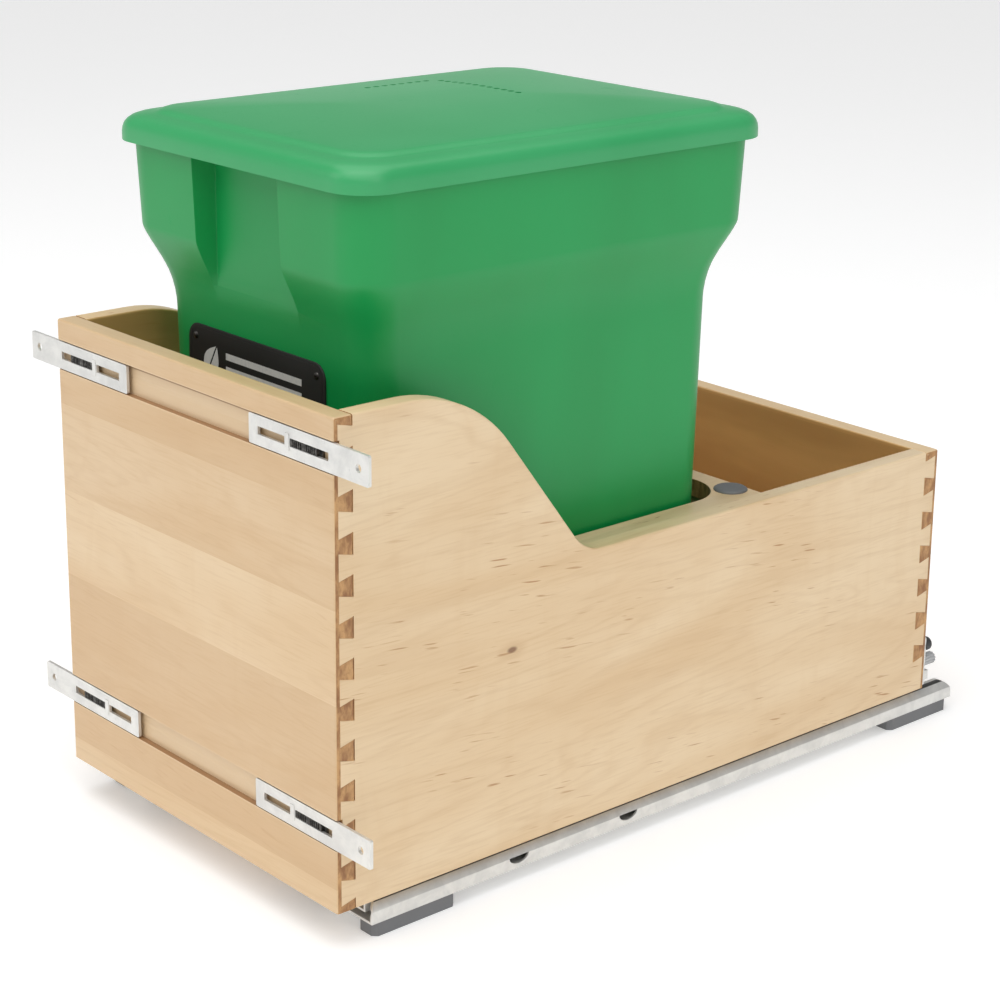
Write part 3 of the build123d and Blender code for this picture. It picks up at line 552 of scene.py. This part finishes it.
class BinLook(PropertyGroup):
    """Colours and wall of the bin and lid."""

    green: swatch("Green", "Main colour", 16, 153, 78)
    # The lid's two greens are the bin's plastic lightened as painted sheen.
    lid_green_with_sheen: swatch("Lid green", "Lid's colour, lightened as painted sheen", 61, 162, 101)
    lid_flow_with_sheen: swatch("Lid shade", "Lid's flow marks, lightened as painted sheen", 54, 157, 95)
    green_shade: swatch("Green shade", "Flow marks", 14, 145, 72)
    wall: FloatProperty(name="Wall", description="Thickness of the wall", default=0.0026, unit="LENGTH")
    corner_steps: IntProperty(name="Corner steps", description="Facets in a corner", default=14, min=4)
    edge_ease: FloatProperty(
        name="Grip edge", description="Radius at the edges of the grips", default=0.0022, unit="LENGTH"
    )


class MetalLook(PropertyGroup):
    """Colours of the slides and hardware."""

    zinc_light: swatch("Pale zinc", "Bright plating", 231, 230, 226)
    zinc_dark: swatch("Dark zinc", "Cloudy plating", 199, 199, 197)
    zinc_dull: swatch("Dull zinc", "Dull spots", 168, 170, 171)
    # Painted shadow colour for the rails' tops.
    rail_shadow: swatch("Rail shadow", "Painted shadow along the rails' tops", 34, 32, 30)
    edge_ease: FloatProperty(
        name="Eased edge", description="Width of the stamped edges", default=0.00025, unit="LENGTH"
    )
    grey: swatch("Grey", "Feet and caps", 114, 115, 117)
    grey_shade: swatch("Grey shade", "Flow marks", 98, 99, 101)
    wheel: swatch("Wheel", "Adjuster wheels", 186, 187, 188)
    dark: swatch("Dark", "Rear knobs", 52, 52, 54)
    cage: swatch("Cage", "Roller cages", 206, 206, 200)
    clamp: swatch("Clamp", "Bracket clamps", 70, 68, 66)
    clamp_worn: swatch("Worn clamp", "Rubbed edges", 120, 118, 114)
    plate_black: swatch("Black plate", "Nameplate", 30, 30, 30)
    plate_mark: swatch("Plate mark", "Raised leaf and bars", 214, 212, 206)
    plate_worn: swatch("Worn plate", "Nameplate's wear", 44, 44, 43)
    felt_dark: swatch("Felt", "Filter pad", 38, 38, 40)
    felt_pale: swatch("Felt fibres", "Ends of fibres", 76, 76, 78)


def settings(name):
    """One group of the scene's settings."""
    return getattr(bpy.context.scene, name)


# ------------------------------------------------------------------ stage
AIM = (0, 0, 0.25)
SOFTBOXES = (
    # name, place, width, setting with its power, share of that power
    ("top_light", (-0.1, -0.1, 2.2), 2.4, "key_power", 1.0),
    ("left_light", (-1.3, -2.3, 1.7), 1.2, "fill_power", 0.95),
    ("right_light", (2.3, -0.6, 1.7), 1.2, "fill_power", 0.93),
)
SUN_HEADING = (-0.25, 0.45, -1.0)
SUN_SPREAD = 70
HORIZON_BAND = (0.08, 0.2)
FLOOR_HALF = 60.0


class STAGE_OT_build(Operator):
    """Camera, soft lights, white surroundings and a pale paper floor"""

    bl_idname = "waste_bin.stage"
    bl_label = "Stage"

    def light(self, name, kind, power, heading):
        """A light that shines along a heading."""
        light = bpy.data.objects.new(name, bpy.data.lights.new(name, kind))
        light.data.energy = power
        light.rotation_euler = Vector(heading).to_track_quat("-Z", "Y").to_euler()
        bpy.context.scene.collection.objects.link(light)
        return light

    def softbox(self, name, place, width, power):
        """A large square light that faces the bin."""
        light = self.light(name, "AREA", power, Vector(AIM) - Vector(place))
        light.data.shape = "SQUARE"
        light.data.size = width
        light.location = place
        return light

    def sun(self, strength):
        """A wide soft sun that lights the whole floor alike."""
        light = self.light("even_light", "SUN", strength, SUN_HEADING)
        light.data.angle = math.radians(SUN_SPREAD)
        return light

    def room(self, look):
        """White surroundings, brightest along the horizon where they meet the floor."""
        world = bpy.data.worlds.new("room")
        world.use_nodes = True
        tree = world.node_tree
        place = tree.nodes.new("ShaderNodeTexCoord")
        split = tree.nodes.new("ShaderNodeSeparateXYZ")
        fade = tree.nodes.new("ShaderNodeMapRange")
        fade.interpolation_type = "SMOOTHSTEP"
        room = tree.nodes["Background"]
        room.inputs["Color"].default_value = (1, 1, 1, 1)
        low, high = HORIZON_BAND
        levels = {"From Min": low, "From Max": high, "To Min": look.horizon_light, "To Max": look.air_light}
        for socket, value in levels.items():
            fade.inputs[socket].default_value = value
        tree.links.new(place.outputs["Generated"], split.inputs["Vector"])
        tree.links.new(split.outputs["Z"], fade.inputs["Value"])
        tree.links.new(fade.outputs["Result"], room.inputs["Strength"])
        return world

    def execute(self, context):
        look = settings("bin_stage")
        azimuth, pitch, roll = look.camera_turn
        data = bpy.data.cameras.new("camera")
        data.lens = look.focal_length
        data.shift_y = look.camera_shift
        camera = bpy.data.objects.new("camera", data)
        turn = (
            Matrix.Rotation(azimuth, 4, "Z")
            @ Matrix.Rotation(math.pi / 2 - pitch, 4, "X")
            @ Matrix.Rotation(roll, 4, "Z")
        )
        camera.matrix_world = Matrix.Translation(look.camera_place) @ turn
        context.scene.collection.objects.link(camera)
        context.scene.camera = camera
        lights = [
            self.softbox(name, place, width, getattr(look, power) * share)
            for name, place, width, power, share in SOFTBOXES
        ]
        lights.append(self.sun(look.sun_strength))
        mesh = bmesh.new()
        bmesh.ops.create_grid(mesh, x_segments=1, y_segments=1, size=FLOOR_HALF)
        floor = bpy.data.objects.new("paper_floor", bpy.data.meshes.new("paper_floor"))
        mesh.to_mesh(floor.data)
        mesh.free()
        floor.data.materials.append(studio_paper("paper", tuple(look.paper) + (1.0,), look.paper_glow))
        context.scene.collection.objects.link(floor)
        context.scene.world = self.room(look)
        context.scene.view_settings.view_transform = "Standard"
        return {"FINISHED"}


# ------------------------------------------------------------------ boards
KNOT_REACH = 0.131
KNOT_HEIGHT = 0.132
KNOT_RADIUS = 0.0026
GROOVE_HEIGHTS = (0.0501, 0.2796)
GROOVE_HALF = 0.0098
GROOVE_DEPTH = 0.0042


class BOARDS_OT_build(Operator):
    """The drawer's maple boards with eased edges and their own grain"""

    bl_idname = "waste_bin.boards"
    bl_label = "Boards"

    def execute(self, context):
        look = settings("bin_wood")
        rear_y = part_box("rear_panel")[0].y
        front_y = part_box("front_panel")[1].y
        side_low, side_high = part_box("side_panel_right")
        inner_x = side_low.x
        knot = ((side_high.x, side_low.y + KNOT_REACH, side_low.z + KNOT_HEIGHT), KNOT_RADIUS)
        within_x = (0, -inner_x, inner_x)
        within_y = (1, front_y, rear_y)
        face_y, board_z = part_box("front_panel")[0].yz
        middles = [board_z + height for height in GROOVE_HEIGHTS]
        # The grooves on the front board get painted light and shade.
        routed = (face_y + GROOVE_DEPTH, [(mid - GROOVE_HALF, mid + GROOVE_HALF) for mid in middles])
        front = maple("maple_front", 0, look, 0.058, 1.3, 0.14, inside=within_y, routed=routed)
        rear = maple("maple_rear", 0, look, 0.07, 5.1, 0.3, inside=within_y)
        right = maple("maple_right", 1, look, seed=2.2, knot=knot, inside=within_x)
        left = maple("maple_left", 1, look, seed=8.4, inside=within_x)
        inside = maple("maple_inside", 1, look, stave=0.09, seed=3.7)
        cross = maple("maple_cross", 0, look, stave=0.08, seed=6.3)
        ease = look.edge_ease
        for node, material in (
            ("front_panel", front),
            ("rear_panel", rear),
            ("side_panel_right", right),
            ("side_panel_left", left),
            ("platform", inside),
            ("divider_panel", cross),
            ("platform_cleat_left", inside),
            ("platform_cleat_right", inside),
        ):
            eased_twin(node, "drawer", material, ease)
        eased_twin("bottom_panel", "drawer", plywood("plywood_floor", look), ease)
        return {"FINISHED"}


# ------------------------------------------------------------------ bin
BIN_CURVE = (
    (0.0, 0.0),
    (0.03, 0.01),
    (0.07, 0.045),
    (0.12, 0.11),
    (0.2, 0.23),
    (0.29, 0.375),
    (0.38, 0.52),
    (0.47, 0.65),
    (0.56, 0.765),
    (0.66, 0.86),
    (0.78, 0.94),
    (0.9, 0.985),
    (1.0, 1.0),
)
COLLAR_DROP = 0.0533
COLLAR_DRAFT = 0.0021
WAIST_DROP = 0.054
WAIST_INSET = 0.0156
BODY_DRAFT = 0.0046
FOOT_RADIUS = 0.009
FOOT_TURNS = (90, 68, 45, 22, 0)
CORNER_RADIUS = 0.021
GRIP_HALF = 0.0435
GRIP_SLANT = 0.0022
GRIP_DEPTH = 0.016
GRIP_RIM = 0.0016


def bin_stack():
    """Heights and half sizes of the bin's outside, foot first."""
    low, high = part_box("bin_shell")
    half_x = (high.x - low.x) / 2
    half_y = (high.y - low.y) / 2
    waist = COLLAR_DRAFT + WAIST_INSET
    insets = [(high.z, 0.0), (high.z - COLLAR_DROP, COLLAR_DRAFT)]
    for share, inset in BIN_CURVE[1:]:
        insets.append((high.z - COLLAR_DROP - share * WAIST_DROP, COLLAR_DRAFT + inset * WAIST_INSET))
    for turn in FOOT_TURNS:
        reach = 1 - math.sin(math.radians(turn))
        rise = 1 - math.cos(math.radians(90 - turn))
        insets.append((low.z + FOOT_RADIUS * (1 - reach), waist + BODY_DRAFT + FOOT_RADIUS * rise))
    return [(z, half_x - inset, half_y - inset) for z, inset in reversed(insets)]


class BIN_OT_build(Operator):
    """The moulded bin: one shell with grips pressed into its collar, front and rear"""

    bl_idname = "waste_bin.bin"
    bl_label = "Bin"

    def execute(self, context):
        look = settings("bin_plastic")
        middle = centre_of("bin_shell")
        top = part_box("bin_shell")[1].z
        half_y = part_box("bin_shell")[1].y - middle.y
        mesh = bmesh.new()
        sections = bin_stack()
        last = stacked_walls(mesh, sections, CORNER_RADIUS, look.corner_steps)
        bmesh.ops.delete(mesh, geom=[last], context="FACES_ONLY")
        foot_z = sections[0][0] + 1e-5
        foot = [edge for edge in mesh.edges if max(vert.co.z for vert in edge.verts) < foot_z]
        bmesh.ops.edgenet_fill(mesh, edges=foot)
        for x in (-GRIP_HALF, -GRIP_HALF + GRIP_SLANT, GRIP_HALF - GRIP_SLANT, GRIP_HALF):
            cut_across(mesh, (x, 0, 0), (1, 0, 0))
        cut_across(mesh, (0, 0, top - GRIP_RIM), (0, 0, 1))
        pressed = half_y - GRIP_DEPTH
        for vert in mesh.verts:
            inside = abs(vert.co.x) < GRIP_HALF - GRIP_SLANT / 2
            if inside and vert.co.z < top - GRIP_RIM / 2 and abs(vert.co.y) > pressed:
                vert.co.y = math.copysign(pressed, vert.co.y)
        bmesh.ops.translate(mesh, vec=(middle.x, middle.y, 0), verts=mesh.verts)
        green = moulded("green_bin", look.green, look.green_shade)
        piece = finished("bin_moulding", mesh, "bin", green, ["bin_shell"], 60)
        add_modifier(
            piece, "BEVEL", width=look.edge_ease, segments=4, limit_method="ANGLE",
            angle_limit=math.radians(38), use_clamp_overlap=True,
        )
        add_modifier(piece, "SOLIDIFY", thickness=look.wall, offset=-1.0)
        return {"FINISHED"}


# ------------------------------------------------------------------ lid
LID_CURVE = (
    (0.0, 0.0),
    (0.0052, 0.0),
    (0.0079, 0.0003),
    (0.0105, 0.0011),
    (0.0127, 0.0025),
    (0.0146, 0.0047),
    (0.0158, 0.0074),
    (0.0166, 0.0106),
    (0.0171, 0.0138),
    (0.0174, 0.016),
    (0.018, 0.0172),
    (0.0189, 0.0185),
    (0.0196, 0.0202),
    (0.01995, 0.0226),
    (0.0206, 0.0295),
    (0.0214, 0.0405),
    (0.0223, 0.054),
    (0.0231, 0.069),
    (0.0238, 0.085),
    (0.0243, 0.1),
    (0.0245, 0.114),
)
LID_CORNER = 0.026
VENT_CORNER = Vector((-0.071, 0.051, 0))
VENT_RADIUS = 0.0022
VENT_PITCH = 0.007
VENTS_FORWARD = 8
VENTS_SIDEWAYS = 12


class LID_OT_build(Operator):
    """The crowned lid with a row of vent holes over its filter"""

    bl_idname = "waste_bin.lid"
    bl_label = "Lid"

    def execute(self, context):
        look = settings("bin_plastic")
        low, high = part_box("lid")
        middle = (low + high) / 2
        half_x, half_y = high.x - middle.x, high.y - middle.y
        mesh = bmesh.new()
        sections = [(low.z + rise, half_x - inset, half_y - inset) for rise, inset in LID_CURVE]
        stacked_walls(mesh, sections, LID_CORNER, look.corner_steps)
        bmesh.ops.translate(mesh, vec=(middle.x, middle.y, 0), verts=mesh.verts)
        # Painted sheen: the lid gets paler greens than the bin, though both are the same plastic.
        green = moulded("green_lid", look.lid_green_with_sheen, look.lid_flow_with_sheen, 1500.0, 0.3)
        piece = finished("lid_moulding", mesh, "lid", green, ["lid"], 50)
        add_modifier(piece, "SOLIDIFY", thickness=look.wall, offset=-1.0)
        settle(piece)
        vents = self.vents(middle, low.z, high.z)
        add_modifier(piece, "BOOLEAN", object=vents, operation="DIFFERENCE", solver="EXACT")
        settle(piece)
        piece.data.shade_smooth()
        piece.data.set_sharp_from_angle(angle=math.radians(40))
        piece.data.materials.clear()
        piece.data.materials.append(green)
        bpy.data.objects.remove(vents)
        dress("filter_tray", green)
        dress("filter_pad", felt("felt", settings("bin_metal")))
        return {"FINISHED"}

    def vents(self, middle, low, high):
        """One pin for each vent hole, to be cut from the lid."""
        mesh = bmesh.new()
        corner = Vector((middle.x, middle.y, high)) + VENT_CORNER
        places = [corner - Vector((0, step * VENT_PITCH, 0)) for step in range(1, VENTS_FORWARD + 1)]
        places += [corner + Vector((step * VENT_PITCH, 0, 0)) for step in range(1, VENTS_SIDEWAYS + 1)]
        for place in places:
            pin = bmesh.ops.create_cone(
                mesh, cap_ends=True, segments=16, radius1=VENT_RADIUS, radius2=VENT_RADIUS, depth=high - low
            )
            bmesh.ops.translate(mesh, vec=place, verts=pin["verts"])
        cutter = bpy.data.objects.new("vents", bpy.data.meshes.new("vents"))
        mesh.to_mesh(cutter.data)
        mesh.free()
        bpy.context.scene.collection.objects.link(cutter)
        return cutter


# ------------------------------------------------------------------ nameplate
PLATE_THICK = 0.0016
PLATE_CORNER = 0.01
RELIEF = 0.00015
RIM_INSET = 0.0022
RIM_CORNER = 0.0082
RIM_WIDTH = 0.0008
LEAF_SIZE = 0.0125
LEAF_SHARE = 0.62
LEAF_PLACE = (-0.046, 0.001, 0)
BAR_LENGTHS = (0.078, 0.078, 0.05)
BAR_CORNER = Vector((-0.03, 0.0055, 0))
BAR_PITCH = Vector((0, -0.0085, 0))
BAR_HEIGHT = 0.0042
DOME_INSET = 0.008
DOME = ((0.0, 0.001), (0.0009, 0.00092), (0.0017, 0.0007), (0.0022, 0.00036), (0.0025, 0.0))


class PLATE_OT_build(Operator):
    """The black nameplate with a raised rim, a plain leaf, three bars and four domed rivets"""

    bl_idname = "waste_bin.nameplate"
    bl_label = "Nameplate"

    def execute(self, context):
        look = settings("bin_metal")
        low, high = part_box("nameplate")
        middle = (low + high) / 2
        lean = math.atan2(high.y - low.y - PLATE_THICK, high.z - low.z)
        half_x, half_z = (high.x - low.x) / 2, (high.z - low.z) / 2
        lay = (
            Matrix.Translation(middle)
            @ Matrix.Rotation(-lean, 4, "X")
            @ Matrix.Rotation(math.pi / 2, 4, "X")
        )
        mesh = bmesh.new()
        rounded_face(mesh, half_x, half_z, PLATE_CORNER, -PLATE_THICK / 2)
        self.stand(mesh, PLATE_THICK)
        bmesh.ops.transform(mesh, matrix=lay, verts=mesh.verts)
        black = moulded("black_enamel", look.plate_black, look.plate_worn, 2200.0, 0.48, 0.05)
        plate = finished("nameplate_blank", mesh, "bin", black, ["nameplate"])
        add_modifier(plate, "BEVEL", width=0.0003, segments=2, limit_method="ANGLE")
        white = plated("plate_white", look.plate_mark, look.zinc_dark, 0.45, 0.0)
        raised = lay @ Matrix.Translation((0, 0, PLATE_THICK / 2))
        rim = bmesh.new()
        rounded_face(rim, half_x - RIM_INSET, half_z - RIM_INSET, RIM_CORNER, 0.0)
        drawn = (("rim", self.rim(rim), black), ("leaf", self.leaf(), white), ("bars", self.bars(), white))
        for name, mesh, material in drawn:
            bmesh.ops.transform(mesh, matrix=raised, verts=mesh.verts)
            finished(f"nameplate_{name}", mesh, "bin", material)
        mesh = bmesh.new()
        away = lay.to_3x3() @ Vector((0, 0, 1))
        for x in (DOME_INSET - half_x, half_x - DOME_INSET):
            for y in (DOME_INSET - half_z, half_z - DOME_INSET):
                turned(mesh, DOME, raised @ Vector((x, y, 0)), away, 20)
        steel = plated("rivet_steel", look.clamp, look.clamp_worn, 0.35)
        finished("nameplate_domes", mesh, "bin", steel, ["nameplate_rivets"])
        return {"FINISHED"}

    def stand(self, mesh, height=RELIEF):
        """Raise flat faces by a height. Returns the mesh."""
        made = bmesh.ops.extrude_face_region(mesh, geom=mesh.faces[:])["geom"]
        top = [item for item in made if isinstance(item, bmesh.types.BMVert)]
        bmesh.ops.translate(mesh, vec=(0, 0, height), verts=top)
        return mesh

    def rim(self, mesh):
        """A thin raised border inside a flat face."""
        faces = mesh.faces[:]
        bmesh.ops.inset_individual(mesh, faces=faces, thickness=RIM_WIDTH, use_even_offset=True)
        bmesh.ops.delete(mesh, geom=faces, context="FACES_ONLY")
        return self.stand(mesh)

    def leaf(self):
        """A plain leaf drawn out to two points and split by its rib."""
        mesh = bmesh.new()
        blade = bmesh.ops.create_circle(mesh, cap_ends=True, segments=40, radius=LEAF_SIZE)["verts"]
        for vert in blade:
            share = abs(vert.co.y) / LEAF_SIZE
            vert.co.x *= LEAF_SHARE * (1 - 0.75 * share * share)
        for x in (-LEAF_SIZE * 0.05, LEAF_SIZE * 0.05):
            cut_across(mesh, (x, 0, 0), (1, 0, 0))
        rib = [face for face in mesh.faces if abs(face.calc_center_median().x) < LEAF_SIZE * 0.04]
        bmesh.ops.delete(mesh, geom=rib, context="FACES")
        bmesh.ops.rotate(mesh, cent=(0, 0, 0), matrix=Matrix.Rotation(-0.5, 3, "Z"), verts=mesh.verts)
        bmesh.ops.translate(mesh, vec=LEAF_PLACE, verts=mesh.verts)
        return self.stand(mesh)

    def bars(self):
        """Three plain bars."""
        mesh = bmesh.new()
        for row, length in enumerate(BAR_LENGTHS):
            corner = BAR_CORNER + BAR_PITCH * row
            slab(mesh, corner, corner + Vector((length, BAR_HEIGHT, RELIEF)))
        return mesh


# ------------------------------------------------------------------ slides and hardware
class SLIDES_OT_build(Operator):
    """Rails, feet, rollers and clips of the slides"""

    bl_idname = "waste_bin.slides"
    bl_label = "Slides"

    def execute(self, context):
        look = settings("bin_metal")
        sheet = zinc("zinc_sheet", look, 1)
        # The base rails carry a painted shadow along their tops.
        base = zinc("zinc_base", look, 1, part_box("base_rail_right")[1])
        foot = moulded("grey_foot", look.grey, look.grey_shade, 1500.0, 0.5)
        cage = moulded("cage_plastic", look.cage, look.grey_shade, 1500.0, 0.5)
        screw = plated("zinc_screw", look.zinc_dark, look.zinc_light)
        ease = look.edge_ease
        for side in SIDES:
            eased_twin(f"base_rail_{side}", "base", base, ease)
            eased_twin(f"mid_rail_{side}", f"mid_rail_{side}", sheet, ease)
            eased_twin(f"drawer_rail_{side}", "drawer", sheet, ease)
            eased_twin(f"foot_front_{side}", "base", foot, ease * 2)
            eased_twin(f"foot_rear_{side}", "base", foot, ease * 2)
            eased_twin(f"front_clip_{side}", "drawer", foot, ease * 2)
            for level in ("lower", "upper"):
                dress(f"{level}_cage_{side}", cage)
                dress(f"{level}_rollers_{side}", screw)
        dress("foot_screws", screw)
        dress("clip_screws", screw)
        return {"FINISHED"}


CAP_RADIUS = 0.0115
CAP_THICK = 0.0022
CAP_STEM = 0.004
CAP_DOME = ((0.0, 0.0), (0.45, 0.00006), (0.72, 0.00025), (0.9, 0.0007), (0.98, 0.0013), (1.0, 0.0018))


class HARDWARE_OT_build(Operator):
    """Door brackets with their clamps, platform caps, rear plates, wheels and knobs"""

    bl_idname = "waste_bin.hardware"
    bl_label = "Hardware"

    def execute(self, context):
        look = settings("bin_metal")
        ease = look.edge_ease
        bracket = zinc("zinc_bracket", look, 0)
        plate = zinc("zinc_plate", look, 2)
        clamp = plated("clamp_steel", look.clamp, look.clamp_worn, 0.4)
        grey = moulded("grey_moulding", look.grey, look.grey_shade, 1500.0, 0.48)
        pale = moulded("pale_moulding", look.wheel, look.grey, 1500.0, 0.4)
        dark = moulded("dark_moulding", look.dark, look.grey_shade, 1500.0, 0.45)
        for side in SIDES:
            for level in ("upper", "lower"):
                name = f"{level}_bracket_{side}"
                eased_twin(name, name, bracket, ease)
            eased_twin(f"rear_plate_{side}", "drawer", plate, ease)
            eased_twin(f"adjuster_wheel_{side}", f"wheel_{side}", pale, ease)
            eased_twin(f"rear_knob_{side}", "drawer", dark, ease)
        eased_twin("bracket_clamps", "drawer", clamp, ease)
        dress("clamp_screws", clamp)
        self.caps(grey)
        return {"FINISHED"}

    def caps(self, material):
        """Domed caps with their stems."""
        low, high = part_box("platform_caps")
        outline = [(CAP_RADIUS * share, high.z - drop) for share, drop in CAP_DOME]
        outline += [(CAP_RADIUS, high.z - CAP_THICK), (CAP_STEM, high.z - CAP_THICK)]
        outline += [(CAP_STEM, low.z), (0.0, low.z)]
        mesh = bmesh.new()
        for x in (low.x + CAP_RADIUS, high.x - CAP_RADIUS):
            for y in (low.y + CAP_RADIUS, high.y - CAP_RADIUS):
                turned(mesh, outline, (x, y, 0), (0, 0, 1), 40)
        finished("platform_caps_domed", mesh, "drawer", material, ["platform_caps"])


class WASTEBIN_PT_panel(Panel):
    """The pieces and the stage"""

    bl_label = "Waste Bin"
    bl_space_type = "VIEW_3D"
    bl_region_type = "UI"
    bl_category = "Waste Bin"

    def draw(self, context):
        column = self.layout.column()
        for operator in OPERATORS:
            column.operator(operator.bl_idname)
        for name, group in SETTINGS.items():
            box = self.layout.box()
            box.label(text=group.__doc__)
            for key in group.__annotations__:
                box.prop(settings(name), key)


SETTINGS = {
    "bin_stage": StageLook,
    "bin_wood": WoodLook,
    "bin_plastic": BinLook,
    "bin_metal": MetalLook,
}
OPERATORS = (
    STAGE_OT_build,
    BOARDS_OT_build,
    BIN_OT_build,
    LID_OT_build,
    PLATE_OT_build,
    SLIDES_OT_build,
    HARDWARE_OT_build,
)


def register():
    """Add the settings, operators and panel to Blender."""
    for kind in (*SETTINGS.values(), *OPERATORS, WASTEBIN_PT_panel):
        bpy.utils.register_class(kind)
    for name, group in SETTINGS.items():
        setattr(bpy.types.Scene, name, PointerProperty(type=group))


def unregister():
    """Take them out again."""
    for name in SETTINGS:
        delattr(bpy.types.Scene, name)
    for kind in (WASTEBIN_PT_panel, *reversed(OPERATORS), *reversed(SETTINGS.values())):
        bpy.utils.unregister_class(kind)


def main():
    """Build every piece."""
    register()
    for operator in OPERATORS:
        getattr(bpy.ops.waste_bin, operator.bl_idname.split(".")[1])()


if __name__ == "__main__":
    main()
